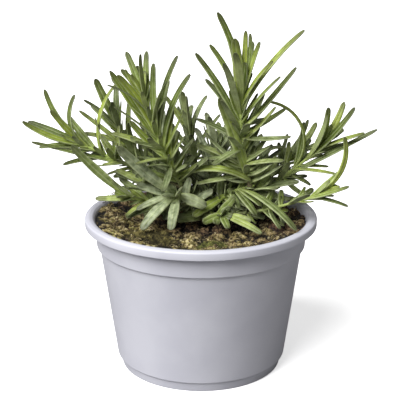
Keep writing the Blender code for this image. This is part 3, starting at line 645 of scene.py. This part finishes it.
def feltedLeafMaterial():
    # lavender leaf: a matt leaf under a thin white felt, so green shows through on young leaves and silver on
    # old ones; the felt is thickest below, on the rolled edges and along the groove
    finish, tree, shader = newMaterial("feltedLavenderLeaf")
    along, grey, shade = (attributeOf(tree, name) for name in ("along", "grey", "shade"))
    section = addNode(tree, "ShaderNodeSeparateXYZ", {0: attributeOf(tree, "section", "Vector")})
    place = objectPlace(tree)
    # blotches 3 mm apart, drawn as on the leaf; the felt's hairs, 0.1 mm, are drawn 0.5 mm coarse so that
    # they show
    blotch = noiseOver(tree, place, 330.0, 3.0)
    hairs = noiseOver(tree, place, 2000.0, 2.0)
    green = colourRamp(tree, shade, (0.0, "455414"), (0.5, "6F8122"), (1.0, "9CAA40"))
    silver = colourRamp(tree, blotch, (0.3, "66724E"), (0.7, "A3AC8A"))
    # how much felt covers a spot: below, on the edges, in the groove, patchily
    below = ranged(tree, section.outputs["Y"], -0.05, -0.35, 0.0, 0.62)
    edge = maths(tree, "ABSOLUTE", section.outputs["X"])
    rim = ranged(tree, edge, 0.68, 0.95, 0.0, 0.85)
    groove = ranged(tree, edge, 0.17, 0.02, 0.0, 0.6)
    felt = maths(tree, "MAXIMUM", maths(tree, "MAXIMUM", rim, groove), below)
    cover = maths(tree, "MULTIPLY", felt, ranged(tree, hairs, 0.35, 0.65, 0.55))
    felted = mixed(tree, cover, mixed(tree, grey, green, silver), hexColour("B4BD8E"))
    # dark tip, paler foot, and uneven green
    tipped = mixed(tree, ranged(tree, along, 0.70, 1.0, 0.0, 0.80), felted, hexColour("3B3F20"))
    footed = mixed(tree, ranged(tree, along, 0.34, 0.0, 0.0, 0.6), tipped, hexColour("A3B25A"))
    uneven = ranged(tree, blotch, 0.3, 0.7, 0.74, 1.16)
    feed(tree, shader, {
        "Base Color": vectorMaths(tree, "SCALE", footed, uneven),
        "Roughness": ranged(tree, cover, 0.0, 1.0, 0.50, 0.85), "Normal": bump(tree, hairs, 0.25, 0.00015),
        "Sheen Weight": 0.10, "Sheen Roughness": 0.5, "Sheen Tint": hexColour("DDE3B4"),
        "Subsurface Weight": 0.08, "Subsurface Radius": (0.0006, 0.0009, 0.0003)})
    return finish


def buildLeaves(grown, sweep):
    finish = feltedLeafMaterial()
    ring = sectionObject("leafSection", leafSection)
    rng = random.Random(29)
    for name, leaves in grown.items():
        paths = [leafPath(leaf, shoots[name], rng) for leaf in leaves]
        piece = pathsObject(name + ".leaves", paths)
        runTree(piece, sweep, {"Section": ring, "Width scale": 1.0, "Thickness scale": 1.0, "Finish": finish})
        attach(piece, "root")
        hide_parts(name)
    bpy.data.objects.remove(ring, do_unlink=True)
    print("leaves swept")


# lavender stems are square with rounded corners
stemShape = dict(corners=12, squareness=0.12, steps=26, smoothing=4, tipRadius=0.3, joint=0.10, jointPower=6)


def stemPath(name, line):
    shoot, path = shoots[name], []
    side = growth["tubeSide"]
    for i in range(stemShape["steps"] + 1):
        t = i / stemShape["steps"]
        middle, ahead = pointOn(line, t)
        side = (side - ahead * side.dot(ahead)).normalized()
        ripple = max(0.0, math.cos(2 * math.pi * t * shoot["pairs"]))
        joint = 1 + stemShape["joint"] * ripple ** stemShape["jointPower"]
        radius = max(stemRadius(shoot, t) * joint, stemShape["tipRadius"])
        path.append(dict(centre=middle, side=side.copy(), over=side.cross(ahead), along=t, grey=shoot["grey"],
                         shade=0.5, halfWidth=radius * mm, halfThick=radius * mm))
    return path


def smoothLine(line, steps):
    # the stem's own curve, rounded between its growth steps
    ends = [line[0] * 2 - line[1], *line, line[-1] * 2 - line[-2]]
    smooth = []
    for i in range(1, len(ends) - 2):
        a, b, c, d = ends[i - 1:i + 3]
        for k in range(steps):
            t = k / steps
            smooth.append(0.5 * (2 * b + (c - a) * t + (2 * a - 5 * b + 4 * c - d) * t * t
                                 + (3 * b - a - 3 * c + d) * t ** 3))
    return [*smooth, line[-1]]


def downyStemMaterial():
    # young lavender stem: soft green skin under short down, turning to grey-brown wood at its foot
    finish, tree, shader = newMaterial("downyGreenStem")
    # streaks run up the stem, 0.8 mm apart
    streak = noiseOver(tree, objectPlace(tree), 1200.0, 3.0)
    wood = ranged(tree, maths(tree, "SUBTRACT", attributeOf(tree, "along"), streak), -0.55, 0.35)
    feed(tree, shader, {
        "Base Color": colourRamp(tree, wood, (0.0, "6E6248"), (0.35, "8C9460"), (1.0, "A9BC62")),
        "Roughness": 0.75, "Sheen Weight": 0.15, "Normal": bump(tree, streak, 0.3, 0.0002)})
    return finish


def buildStems(lines, sweep):
    corners = []
    for i in range(stemShape["corners"]):
        turn = 2 * math.pi * (i + 0.5) / stemShape["corners"]
        reach = 1 - stemShape["squareness"] * math.cos(4 * turn) ** 2
        corners.append((reach * math.cos(turn), reach * math.sin(turn)))
    ring = sectionObject("stemSection", corners)
    paths = [stemPath(name, smoothLine(line, stemShape["smoothing"])) for name, line in lines.items()]
    piece = pathsObject("lavenderStems", paths)
    runTree(piece, sweep, {"Section": ring, "Width scale": 1.0, "Thickness scale": 1.0,
                           "Finish": downyStemMaterial()})
    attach(piece, "root")
    bpy.data.objects.remove(ring, do_unlink=True)
    print("stems swept")


crown = dict(radius=5.6, foot=(1, 2), lean=(0.8, 0.6), footZ=78.0, topZ=91.0, rings=22, sides=28, knobs=0.9,
             domeFrom=0.7)


def barkMaterial():
    # old lavender wood: dry grey-brown bark that splits along the stem
    finish, tree, shader = newMaterial("splitGreyBark")
    stretch = addNode(tree, "ShaderNodeMapping", {"Vector": objectPlace(tree), "Scale": (1, 1, 0.25)})
    # splits 1.5 mm apart and four times as long
    split = noiseOver(tree, stretch, 650.0, 5.0, Roughness=0.65)
    feed(tree, shader, {"Base Color": colourRamp(tree, split, (0.35, "2E2219"), (0.68, "8B7A63")),
                        "Roughness": 0.9, "Normal": bump(tree, split, 0.8, 0.0006)})
    return finish


def buildCrown():
    points, faces = [], []
    sides, rings = crown["sides"], crown["rings"]
    for i in range(rings + 1):
        t = i / rings
        z = crown["footZ"] + (crown["topZ"] - crown["footZ"]) * t
        dome = math.sqrt(max(0.02, 1 - max(0.0, (t - crown["domeFrom"]) / 0.3) ** 2))
        for j in range(sides):
            a = 2 * math.pi * j / sides
            knob = crown["knobs"] * (math.sin(3 * a + 5 * t) * math.cos(2 * a - 4 * t)
                                     + 0.5 * math.sin(7 * a + 9 * t))
            r = (crown["radius"] * (0.86 + 0.14 * math.sin(5.2 * t + 0.4)) + knob) * dome
            points.append((crown["foot"][0] + crown["lean"][0] * t + r * math.cos(a),
                           crown["foot"][1] + crown["lean"][1] * t + r * math.sin(a), z))
    for i in range(rings):
        for j in range(sides):
            k = (j + 1) % sides
            faces.append((i * sides + j, i * sides + k, (i + 1) * sides + k, (i + 1) * sides + j))
    faces.append(tuple(reversed(range(sides))))
    faces.append(tuple(range(rings * sides, (rings + 1) * sides)))
    piece = meshObject("woodyCrown", points, faces, barkMaterial())
    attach(piece, "root")
    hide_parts("woody_crown")
    print("crown built")


pot = dict(height=87.0, lipRadius=64.5, lipInner=59.6, lipDepth=4.9, lipRound=1.1, wall=1.2, collarTop=59.1,
           collarFoot=58.2, collarZ=69.6, wallTop=56.5, wallFoot=47.7, bandZ=6.0, groove=0.6, foot=45.2,
           footRing=2.6, floorLift=2.0, steps=192, soften=0.35, drainHoles=6, drainRadius=4.5, drainRing=29.0,
           drainCut=(-1, 6), drainSides=32, sharpFrom=50)


def arcPoints(r, z, radius, start, end, steps):
    turns = [math.radians(start + (end - start) * i / steps) for i in range(steps + 1)]
    return [(r + radius * math.cos(a), z + radius * math.sin(a)) for a in turns]


def softened(profile, radius):
    # every corner of the profile rounded a little, as in a mould
    made = [profile[0]]
    for before, corner, after in zip(profile, profile[1:], profile[2:]):
        a, b, c = (Vector((*p, 0)) for p in (before, corner, after))
        cut = min(radius, 0.45 * (a - b).length, 0.45 * (c - b).length)
        start, end = b + (a - b).normalized() * cut, b + (c - b).normalized() * cut
        for t in (0.0, 0.5, 1.0):
            p = start * (1 - t) ** 2 + b * (2 * t * (1 - t)) + end * t ** 2
            made.append((p.x, p.y))
    return [*made, profile[-1]]


def potProfile():
    p = pot
    crest = (p["lipInner"] + p["lipRadius"]) / 2
    skirt, underlip = p["height"] - p["lipDepth"], p["height"] - p["wall"] - 0.9
    profile = [(0.0, p["floorLift"] + p["wall"]), (p["foot"] - p["wall"], p["floorLift"] + p["wall"]),
               (p["foot"] - p["wall"] + 0.8, p["bandZ"] - 1.4), (p["wallFoot"] - p["wall"], p["bandZ"] + 1.2),
               (p["wallTop"] - p["wall"], p["collarZ"]),
               (p["collarFoot"] - p["wall"], p["collarZ"] + 1.6), (p["collarTop"] - p["wall"], skirt),
               (p["lipInner"] - 0.5, p["height"] - 1.5), (p["lipInner"] + 0.6, p["height"] - 0.4),
               (crest, p["height"])]
    profile += arcPoints(p["lipRadius"] - p["lipRound"], p["height"] - 0.4 - p["lipRound"], p["lipRound"], 72,
                         0, 6)
    profile += [(p["lipRadius"], skirt), (p["lipRadius"] - p["wall"], skirt),
                (p["lipRadius"] - p["wall"], underlip), (p["collarTop"] + 0.1, underlip),
                (p["collarTop"], skirt), (p["collarFoot"], p["collarZ"] + 0.9), (p["wallTop"], p["collarZ"]),
                (p["wallFoot"], p["bandZ"]), (p["wallFoot"] - 0.9, p["bandZ"] - p["groove"]),
                (p["foot"] + 0.9, p["bandZ"] - 2 * p["groove"]), (p["foot"], 0.0),
                (p["foot"] - p["footRing"], 0.0), (p["foot"] - p["footRing"] - 0.6, p["floorLift"]),
                (0.0, p["floorLift"])]
    return softened(profile, p["soften"])


def roundAxis(r, z, steps):
    turns = [2 * math.pi * j / steps for j in range(steps)]
    return [(r * math.cos(a), r * math.sin(a), z) for a in turns]


def turnProfile(profile, steps):
    # profile points on the axis become poles
    points, rows = [], []
    for r, z in profile:
        if r < 1e-6:
            rows.append([len(points)] * steps)
            points.append((0, 0, z))
        else:
            rows.append(list(range(len(points), len(points) + steps)))
            points += roundAxis(r, z, steps)
    faces = []
    for low, high in zip(rows, rows[1:]):
        for j in range(steps):
            k = (j + 1) % steps
            corners = list(dict.fromkeys((low[j], low[k], high[k], high[j])))
            faces.append(tuple(reversed(corners)))
    return points, faces


def mouldedPlasticMaterial():
    # polypropylene nursery pot, injection moulded: satin, faintly mottled, with a few scuffs
    finish, tree, shader = newMaterial("mouldedPolypropylene")
    place = objectPlace(tree)
    # cloudy pigment 25 mm across, moulding texture 0.5 mm, and scuffs 2 mm long
    cloud = noiseOver(tree, place, 40.0, 3.0)
    grain = noiseOver(tree, place, 2000.0, 2.0)
    squash = addNode(tree, "ShaderNodeMapping", {"Vector": place, "Scale": (1, 1, 2.6)})
    scuff = noiseOver(tree, squash, 230.0, 4.0, Roughness=0.7)
    pigment = colourRamp(tree, cloud, (0.35, "C6C6D0"), (0.65, "CECED7"))
    marked = mixed(tree, ranged(tree, scuff, 0.70, 0.78, 0.0, 0.45), pigment, hexColour("A3A2A6"))
    feed(tree, shader, {"Base Color": marked, "Roughness": ranged(tree, cloud, 0.3, 0.7, 0.42, 0.54),
                        "Normal": bump(tree, grain, 0.10, 0.0001), "IOR": 1.49})
    return finish


def buildPot():
    points, faces = turnProfile(potProfile(), pot["steps"])
    piece = meshObject("nurseryPot", points, faces, mouldedPlasticMaterial())
    turnOutwards(piece.data)
    for i in range(pot["drainHoles"]):
        turn = 2 * math.pi * (i + 0.5) / pot["drainHoles"]
        x, y = pot["drainRing"] * math.cos(turn), pot["drainRing"] * math.sin(turn)
        axis = [Vector((x, y, z)) for z in pot["drainCut"]]
        hole = meshObject("hole", *simpleTube(axis, [pot["drainRadius"]] * 2, pot["drainSides"]))
        turnOutwards(hole.data)
        cut = piece.modifiers.new("drain", "BOOLEAN")
        cut.operation = "DIFFERENCE"
        cut.object = hole
        graph = bpy.context.evaluated_depsgraph_get()
        mesh = bpy.data.meshes.new_from_object(piece.evaluated_get(graph))
        piece.modifiers.remove(cut)
        piece.data = mesh
        bpy.data.objects.remove(hole, do_unlink=True)
    piece.data.set_sharp_from_angle(angle=math.radians(pot["sharpFrom"]))
    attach(piece, "root")
    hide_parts("nursery_pot")
    print("pot turned")


# the bed of compost; under its edge it follows the pot's wall down by these radii and heights
soil = dict(height=81.4, swell=0.9, ripple=0.4, floorZ=3.6, reach=58.4, rings=105, steps=300, footInset=1.3,
            under=((56.6, 76.0), (54.9, 69.0)))
# what lies strewn on it: clods, lumps and grit by size and height, heaped and banked up towards the wall
ground = dict(clodSize=10, clodHeight=6.4, lumpSize=3.2, lumpHeight=2.8, gritSize=1.5, gritHeight=0.8,
              sink=1.9, heap=1.6, bank=3.8, bankFrom=0.72, crest=84.6, aboveCrest=0.45,
              standing=(-0.36, 2.6, 1.1, 0.5))
mossing = dict(bearing=232, share=0.42, swing=0.62, patch=0.9, patchSize=13, bareWithin=0.35, edge=0.25)
# things thrown on the ground: how far out, how many and how large
litter = dict(crumbs=1500, crumbSize=1.36, crumbReach=55.8, chips=260, chipSize=2.1, chipReach=55.0,
              fibres=480, fibreLength=6.0, fibreRadius=0.14, fibreLean=0.45, fibreReach=54.5, fronds=5000,
              frondLength=1.1, frondRadius=0.17, frondReach=55.8)


def clamped(value):
    return min(1.0, max(0.0, value))


def soilHeight(x, y):
    return (soil["height"] + soil["swell"] * math.sin(x / 9 + 0.6) * math.cos(y / 11)
            + soil["ripple"] * math.sin((x + y) / 7))


def lumpy(x, y, z, size, seed):
    # smooth lumps about size across, from -1 to 1
    return noise.noise(Vector((x / size + seed, y / size - seed, z / size)))


def groundAt(x, y):
    # height of the strewn ground, how far a spot stands out of the crevices and how mossy it is, both 0 to 1
    g, m = ground, mossing
    clod = abs(lumpy(x, y, 0, g["clodSize"], 3))
    lump = abs(lumpy(x, y, 0, g["lumpSize"], 8))
    grit = lumpy(x, y, 0, g["gritSize"], 5)
    outwards = min(1.0, math.hypot(x, y) / soil["reach"])
    towardsMoss = math.cos(math.atan2(y, x) - math.radians(m["bearing"]))
    mossy = m["share"] + m["swing"] * towardsMoss + m["patch"] * lumpy(x, y, 0, m["patchSize"], 4)
    mossy = clamped(mossy) * clamped((outwards - m["bareWithin"]) / m["edge"])
    heap = g["heap"] * outwards ** 2 * (0.55 + 0.45 * towardsMoss) - g["sink"]
    banked = max(0.0, (outwards - g["bankFrom"]) / 0.28) ** 1.5
    heap += g["bank"] * banked * (0.6 + 0.4 * towardsMoss)
    z = soilHeight(x, y) + heap + g["clodHeight"] * clod + g["lumpHeight"] * lump + g["gritHeight"] * grit
    if z > g["crest"]:
        z = g["crest"] + g["aboveCrest"] * (z - g["crest"])
    # how far a spot stands out of the crevices, which the finishes turn into painted shade and painted light
    least, byClod, byLump, byGrit = g["standing"]
    return z, clamped(least + byClod * clod + byLump * lump + byGrit * grit), mossy


def peatMaterial():
    # damp peat compost with moss creeping over it: brown on the crumbs and dull gold to olive where moss has
    # dried on the clods; black in the crevices as painted shade, and paler where a spot stands out as painted
    # light
    finish, tree, shader = newMaterial("dampPeatCompost")
    place = objectPlace(tree)
    # crumbs 2 mm and clods 5 mm
    fine = noiseOver(tree, place, 480.0, 4.0, Roughness=0.75)
    clod = noiseOver(tree, place, 200.0, 3.0)
    # painted shade and painted light: black down in the crevices, paler the more a spot stands out of them
    clear = ranged(tree, attributeOf(tree, "standing"), 0.08, 0.60)
    raised = maths(tree, "MULTIPLY", ranged(tree, fine, 0.36, 0.64, 0.22), clear)
    peat = colourRamp(tree, raised, (0.06, "0C0906"), (0.40, "33251A"), (0.85, "957A58"))
    moss = colourRamp(tree, raised, (0.05, "0E0C07"), (0.35, "4E4420"), (0.62, "A09055"), (0.90, "D8CC9E"))
    tinted = mixed(tree, ranged(tree, clod, 0.5, 0.62, 0.0, 0.7), moss, hexColour("A2AE66"), "MULTIPLY")
    feed(tree, shader, {"Base Color": mixed(tree, attributeOf(tree, "mossy"), peat, tinted),
                        "Roughness": 0.95, "Normal": bump(tree, fine, 1.0, 0.0016)})
    return finish


def groundRings(reaches, steps):
    # the strewn ground on rings about the middle: points, and how each stands out and is mossy
    points, looks = [], []
    for r in reaches:
        for j in range(steps):
            a = 2 * math.pi * j / steps
            x, y = r * math.cos(a), r * math.sin(a)
            z, standing, mossy = groundAt(x, y)
            points.append(Vector((x, y, z)))
            looks.append((standing, mossy))
    return points, looks


def ringFaces(start, steps, rings):
    faces = []
    for i in range(rings):
        near, far = start + i * steps, start + (i + 1) * steps
        for j in range(steps):
            k = (j + 1) % steps
            faces.append((near + j, far + j, far + k, near + k))
    return faces


def storeLooks(mesh, looks):
    storeAttribute(mesh, "standing", "FLOAT", [look[0] for look in looks])
    storeAttribute(mesh, "mossy", "FLOAT", [look[1] for look in looks])


def buildCompost():
    steps, rings = soil["steps"], soil["rings"]
    middle, look = groundRings([0.0], 1)
    points, looks = groundRings([soil["reach"] * i / rings for i in range(1, rings + 1)], steps)
    points, looks = middle + points, look + looks
    low = pot["foot"] - pot["wall"] - soil["footInset"]
    for r, z in (*soil["under"], (low, soil["floorZ"] + 1.0), (low - 1, soil["floorZ"])):
        points += roundAxis(r, z, steps)
    points.append((0, 0, soil["floorZ"]))
    rows = rings + 4
    last = 1 + (rows - 1) * steps
    faces = ringFaces(1, steps, rows - 1)
    for j in range(steps):
        k = (j + 1) % steps
        faces += [(0, 1 + j, 1 + k), (len(points) - 1, last + k, last + j)]
    looks += [(0.0, 0.0)] * (len(points) - len(looks))
    piece = meshObject("compostBed", points, faces, peatMaterial())
    storeLooks(piece.data, looks)
    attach(piece, "root")
    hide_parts("compost")
    print("compost filled")


def groundPatch(name, reach, inner=7.0):
    # a bare copy of the compost's top to scatter things on; it isn't kept
    steps, rings = 120, 40
    points, looks = groundRings([inner + (reach - inner) * i / rings for i in range(rings + 1)], steps)
    patch = meshObject(name, points, ringFaces(0, steps, rings))
    storeLooks(patch.data, looks)
    return patch


def spotsOn(tree, given, density):
    return addNode(tree, "GeometryNodeDistributePointsOnFaces", {
        "Mesh": given.outputs["Geometry"], "Density": density, "Seed": given.outputs["Seed"]})


def anyVector(tree, least, most, seed):
    return addNode(tree, "FunctionNodeRandomValue", {"Min": least, "Max": most, "Seed": seed},
                   data_type="FLOAT_VECTOR")


def anySize(tree, least, most, seed):
    return addNode(tree, "FunctionNodeRandomValue", {2: least, 3: most, "Seed": seed}, data_type="FLOAT")


def copiesOn(tree, spots, thing, turn, size):
    thrown = addNode(tree, "GeometryNodeInstanceOnPoints", {
        "Points": spots.outputs["Points"], "Instance": thing, "Rotation": turn, "Scale": size})
    return addNode(tree, "GeometryNodeRealizeInstances", {"Geometry": thrown})


def roughened(tree, geometry, scale, centre, push):
    # every point pushed about by a noise of this scale
    shift = noiseOver(tree, addNode(tree, "GeometryNodeInputPosition"), scale, 1.0).outputs["Color"]
    offset = vectorMaths(tree, "SCALE", vectorMaths(tree, "SUBTRACT", shift, centre), push)
    return addNode(tree, "GeometryNodeSetPosition", {"Geometry": geometry, "Offset": offset})


def buildCrumbTree():
    # crumbs of peat thrown over the ground, each squashed, turned and roughened by itself
    tree, given, result = newGeometryTree("scatterCrumbs", {
        "Count per square metre": "Float", "Crumb size": "Float", "Seed": "Int", "Finish": "Material"})
    spots = spotsOn(tree, given, given.outputs["Count per square metre"])
    crumb = addNode(tree, "GeometryNodeMeshIcoSphere", {"Radius": 0.5, "Subdivisions": 1})
    turn = anyVector(tree, (0, 0, 0), (6.28, 6.28, 6.28), 4)
    form = anyVector(tree, (0.35, 0.35, 0.3), (1.5, 1.1, 0.8), 7)
    size = vectorMaths(tree, "SCALE", form, given.outputs["Crumb size"])
    thrown = copiesOn(tree, spots, crumb, turn, size)
    # dents about 0.7 mm apart
    return closeTree(tree, given, result, roughened(tree, thrown, 1400.0, (0.5, 0.5, 0.5), 0.0008))


def crumbMaterial(name, dark, light):
    finish, tree, shader = newMaterial(name)
    # colour changes from crumb to crumb, about 2 mm apart
    patch = noiseOver(tree, objectPlace(tree), 500.0, 3.0)
    colour = colourRamp(tree, patch, (0.36, dark), (0.68, light))
    # painted shade, dark down in the crevices, and painted light, pale where it stands out
    paintedShade = ranged(tree, attributeOf(tree, "standing"), 0.0, 0.7, 0.16)
    feed(tree, shader, {"Base Color": vectorMaths(tree, "SCALE", colour, paintedShade), "Roughness": 0.95,
                        "Normal": bump(tree, patch, 0.6, 0.0004)})
    return finish


def buildFibreTree():
    # thin bent fibres lying about on the ground
    tree, given, result = newGeometryTree("scatterFibres", {
        "Count per square metre": "Float", "Fibre length": "Float", "Fibre radius": "Float", "Lean": "Float",
        "Seed": "Int", "Finish": "Material"})
    spots = spotsOn(tree, given, given.outputs["Count per square metre"])
    bow = addNode(tree, "GeometryNodeCurveQuadraticBezier", {
        "Resolution": 6, "Start": (-0.5, 0, 0), "Middle": (0.05, 0.28, 0.10), "End": (0.5, 0, 0)})
    lean = addNode(tree, "ShaderNodeCombineXYZ",
                   {"X": given.outputs["Lean"], "Y": given.outputs["Lean"], "Z": 6.28})
    turn = anyVector(tree, vectorMaths(tree, "SCALE", lean, -1.0), lean, 2)
    size = maths(tree, "MULTIPLY", anySize(tree, 0.35, 1.0, 5), given.outputs["Fibre length"])
    laid = copiesOn(tree, spots, bow, turn, size)
    bent = roughened(tree, laid, 420.0, (0.5, 0.5, 0.42), 0.003)
    ring = addNode(tree, "GeometryNodeCurvePrimitiveCircle", {
        "Resolution": 4, "Radius": given.outputs["Fibre radius"]})
    skin = addNode(tree, "GeometryNodeCurveToMesh", {"Curve": bent, "Profile Curve": ring, "Fill Caps": True})
    return closeTree(tree, given, result, addNode(tree, "GeometryNodeSetShadeSmooth", {"Geometry": skin}))


def scatter(name, patch, tree, values):
    runTree(patch, tree, values)
    patch.name = name
    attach(patch, "root")
    return patch


strays = dict(reach=58, bearings=(142, 148, 154, 160), height=88.2, band=(0.97, 1.03), count=16, area=64,
              length=8.0, radius=0.16, lean=1.0)


def rootMaterial():
    # dead root hairs: dark brown, dry and dull
    finish, tree, shader = newMaterial("deadRootHair")
    # paler joints about 2 mm apart
    joint = noiseOver(tree, objectPlace(tree), 500.0, 2.0)
    feed(tree, shader, {"Base Color": colourRamp(tree, joint, (0.0, "221A14"), (1.0, "6A5B4C")),
                        "Roughness": 0.8})
    return finish


def buildTopDressing(crumbs, fibres, fronds):
    area = math.pi * (soil["reach"] * mm) ** 2
    scatter("compostCrumbs", groundPatch("crumbGround", litter["crumbReach"]), crumbs, {
        "Count per square metre": litter["crumbs"] / area, "Crumb size": litter["crumbSize"] * mm, "Seed": 5,
        "Finish": crumbMaterial("peatCrumbs", "17100B", "6F563E")})
    scatter("driedMossChips", groundPatch("chipGround", litter["chipReach"]), crumbs, {
        "Count per square metre": litter["chips"] / area, "Crumb size": litter["chipSize"] * mm, "Seed": 12,
        "Finish": crumbMaterial("driedMossChip", "5C4F33", "C6B88E")})
    scatter("strawFibres", groundPatch("fibreGround", litter["fibreReach"]), fibres, {
        "Count per square metre": litter["fibres"] / area, "Fibre length": litter["fibreLength"] * mm,
        "Fibre radius": litter["fibreRadius"] * mm, "Lean": litter["fibreLean"], "Seed": 9,
        "Finish": crumbMaterial("dryStrawFibre", "73603C", "D3C195")})
    scatter("creepingMoss", groundPatch("mossGround", litter["frondReach"]), fronds, {
        "Count per square metre": litter["fronds"] / area, "Frond length": litter["frondLength"] * mm,
        "Frond radius": litter["frondRadius"] * mm, "Seed": 21,
        "Finish": crumbMaterial("creepingMossFrond", "2E2A12", "8E8648")})
    # a few dark roots that hang over the rim behind the moss
    rim = [(strays["reach"] * math.cos(math.radians(turn)), strays["reach"] * math.sin(math.radians(turn)))
           for turn in strays["bearings"]]
    corners = [(x * out, y * out, strays["height"]) for x, y in rim for out in strays["band"]]
    perch = meshObject("rimPerch", corners, [(i, i + 1, i + 3, i + 2) for i in range(0, len(corners) - 2, 2)])
    scatter("strayRoots", perch, fibres, {
        "Count per square metre": strays["count"] / strays["area"] / mm / mm,
        "Fibre length": strays["length"] * mm, "Fibre radius": strays["radius"] * mm, "Lean": strays["lean"],
        "Seed": 6, "Finish": rootMaterial()})
    print("crumbs and fibres strewn")


cushions = {
    "moss_front_left": dict(bearing=230, distance=42, along=18, across=10, height=3.4, slot="moss",
                            dark="2E2812", light="A09457"),
    "moss_front": dict(bearing=282, distance=45, along=14, across=7.5, height=2.6, slot="moss",
                       dark="2A2E12", light="8E8F4A"),
    "moss_left": dict(bearing=184, distance=46, along=14, across=6.5, height=3.0, slot="moss",
                      dark="2E2414", light="9E8C60"),
    "bark_right": dict(bearing=344, distance=45, along=9, across=6, height=3.4, slot="bark",
                       dark="33211A", light="8C6A50"),
}
cushionShape = dict(steps=72, rings=20, seat=0.2, skirt=0.8, lump=2.6, lumpSize=5.5, knobSize=2.2,
                    knobShare=0.6, frond=1.3, frondRadius=0.17, frondsPerArea=5.2, barkFlakes=220,
                    flakeSize=2.4)


def cushionMesh(name, spec, finish):
    bearing = math.radians(spec["bearing"])
    outward = Vector((math.cos(bearing), math.sin(bearing), 0))
    onward = Vector((-math.sin(bearing), math.cos(bearing), 0))
    steps, rings = cushionShape["steps"], cushionShape["rings"]
    low, top, standing = [], [], []
    for i in range(rings + 1):
        rho = i / rings
        for j in range(steps if i else 1):
            a = 2 * math.pi * j / steps
            ragged = 1 + 0.08 * math.sin(3 * a + bearing) + 0.05 * math.sin(5 * a)
            x, y, _ = (outward * (spec["distance"] + spec["across"] * rho * ragged * math.cos(a))
                       + onward * (spec["along"] * rho * ragged * math.sin(a)))
            base = soilHeight(x, y) - cushionShape["seat"] - cushionShape["skirt"]
            dome = spec["height"] * math.sqrt(1 - rho ** 2 * 0.97)
            knob = cushionShape["knobShare"] * abs(lumpy(x, y, 0, cushionShape["knobSize"], 6))
            lump = abs(lumpy(x, y, 0, cushionShape["lumpSize"], 2)) + knob - 0.35
            # how far a spot stands out, falling off towards the rim: the finish paints shade between the
            # lumps and at the edge
            standing.append(clamped(0.35 + 1.5 * lump) * (1 - 0.8 * rho ** 4))
            lump *= cushionShape["lump"] * (1 - rho ** 4)
            low.append(Vector((x, y, base)))
            top.append(Vector((x, y, base + cushionShape["skirt"] + max(dome + lump, 0.2))))
    count = len(low)
    faces = []
    for j in range(steps):
        k = (j + 1) % steps
        faces += [(0, 1 + k, 1 + j), (count, count + 1 + j, count + 1 + k)]
        for i in range(rings - 1):
            near, far = 1 + i * steps, 1 + (i + 1) * steps
            faces.append((near + j, near + k, far + k, far + j))
            faces.append((count + near + k, count + near + j, count + far + j, count + far + k))
        rim = 1 + (rings - 1) * steps
        faces.append((rim + j, rim + k, count + rim + k, count + rim + j))
    piece = meshObject(name, low + top, faces, finish)
    storeLooks(piece.data, [(share, 1.0) for share in standing + standing])
    turnOutwards(piece.data)
    return piece


def buildFrondTree():
    # short pointed fronds standing out of a cushion, or out of the ground where it is mossy
    tree, given, result = newGeometryTree("growFronds", {
        "Count per square metre": "Float", "Frond length": "Float", "Frond radius": "Float", "Seed": "Int",
        "Finish": "Material"})
    mossy = addNode(tree, "GeometryNodeInputNamedAttribute", {"Name": "mossy"}, data_type="FLOAT")
    spots = spotsOn(tree, given, maths(tree, "MULTIPLY", mossy, given.outputs["Count per square metre"]))
    frond = addNode(tree, "GeometryNodeMeshCone", {
        "Vertices": 4, "Radius Top": 0.0, "Radius Bottom": given.outputs["Frond radius"],
        "Depth": given.outputs["Frond length"]})
    tilt = addNode(tree, "FunctionNodeEulerToRotation",
                   {0: anyVector(tree, (-0.8, -0.8, 0), (0.8, 0.8, 6.28), 3)})
    upright = addNode(tree, "FunctionNodeRotateRotation", {
        "Rotation": spots.outputs["Rotation"], "Rotate By": tilt}, rotation_space="LOCAL")
    grown = copiesOn(tree, spots, frond.outputs["Mesh"], upright, anySize(tree, 0.5, 1.3, 8))
    return closeTree(tree, given, result, grown)


def buildCushions(crumbs, fronds):
    for seed, (name, spec) in enumerate(cushions.items()):
        finish = crumbMaterial(name + "Tuft", spec["dark"], spec["light"])
        body = cushionMesh(name + ".body", spec, finish)
        cover = body.copy()
        cover.data = body.data.copy()
        bpy.context.scene.collection.objects.link(cover)
        area = math.pi * spec["along"] * spec["across"] * mm * mm
        if spec["slot"] == "moss":
            runTree(cover, fronds, {"Count per square metre": cushionShape["frondsPerArea"] / mm / mm,
                                    "Frond length": cushionShape["frond"] * mm,
                                    "Frond radius": cushionShape["frondRadius"] * mm, "Seed": seed,
                                    "Finish": finish})
        else:
            runTree(cover, crumbs, {"Count per square metre": cushionShape["barkFlakes"] / area,
                                    "Crumb size": cushionShape["flakeSize"] * mm, "Seed": seed,
                                    "Finish": finish})
        cover.name = name + ".tuft"
        for piece in (body, cover):
            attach(piece, "root")
        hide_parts(name)
    print("moss and bark laid")


buildStudio()
lines, grown = growPlant()
sweep = buildSweepTree()
buildLeaves(grown, sweep)
buildStems(lines, sweep)
buildCrown()
buildPot()
buildCompost()
crumbTree, fibreTree, frondTree = buildCrumbTree(), buildFibreTree(), buildFrondTree()
buildTopDressing(crumbTree, fibreTree, frondTree)
buildCushions(crumbTree, frondTree)
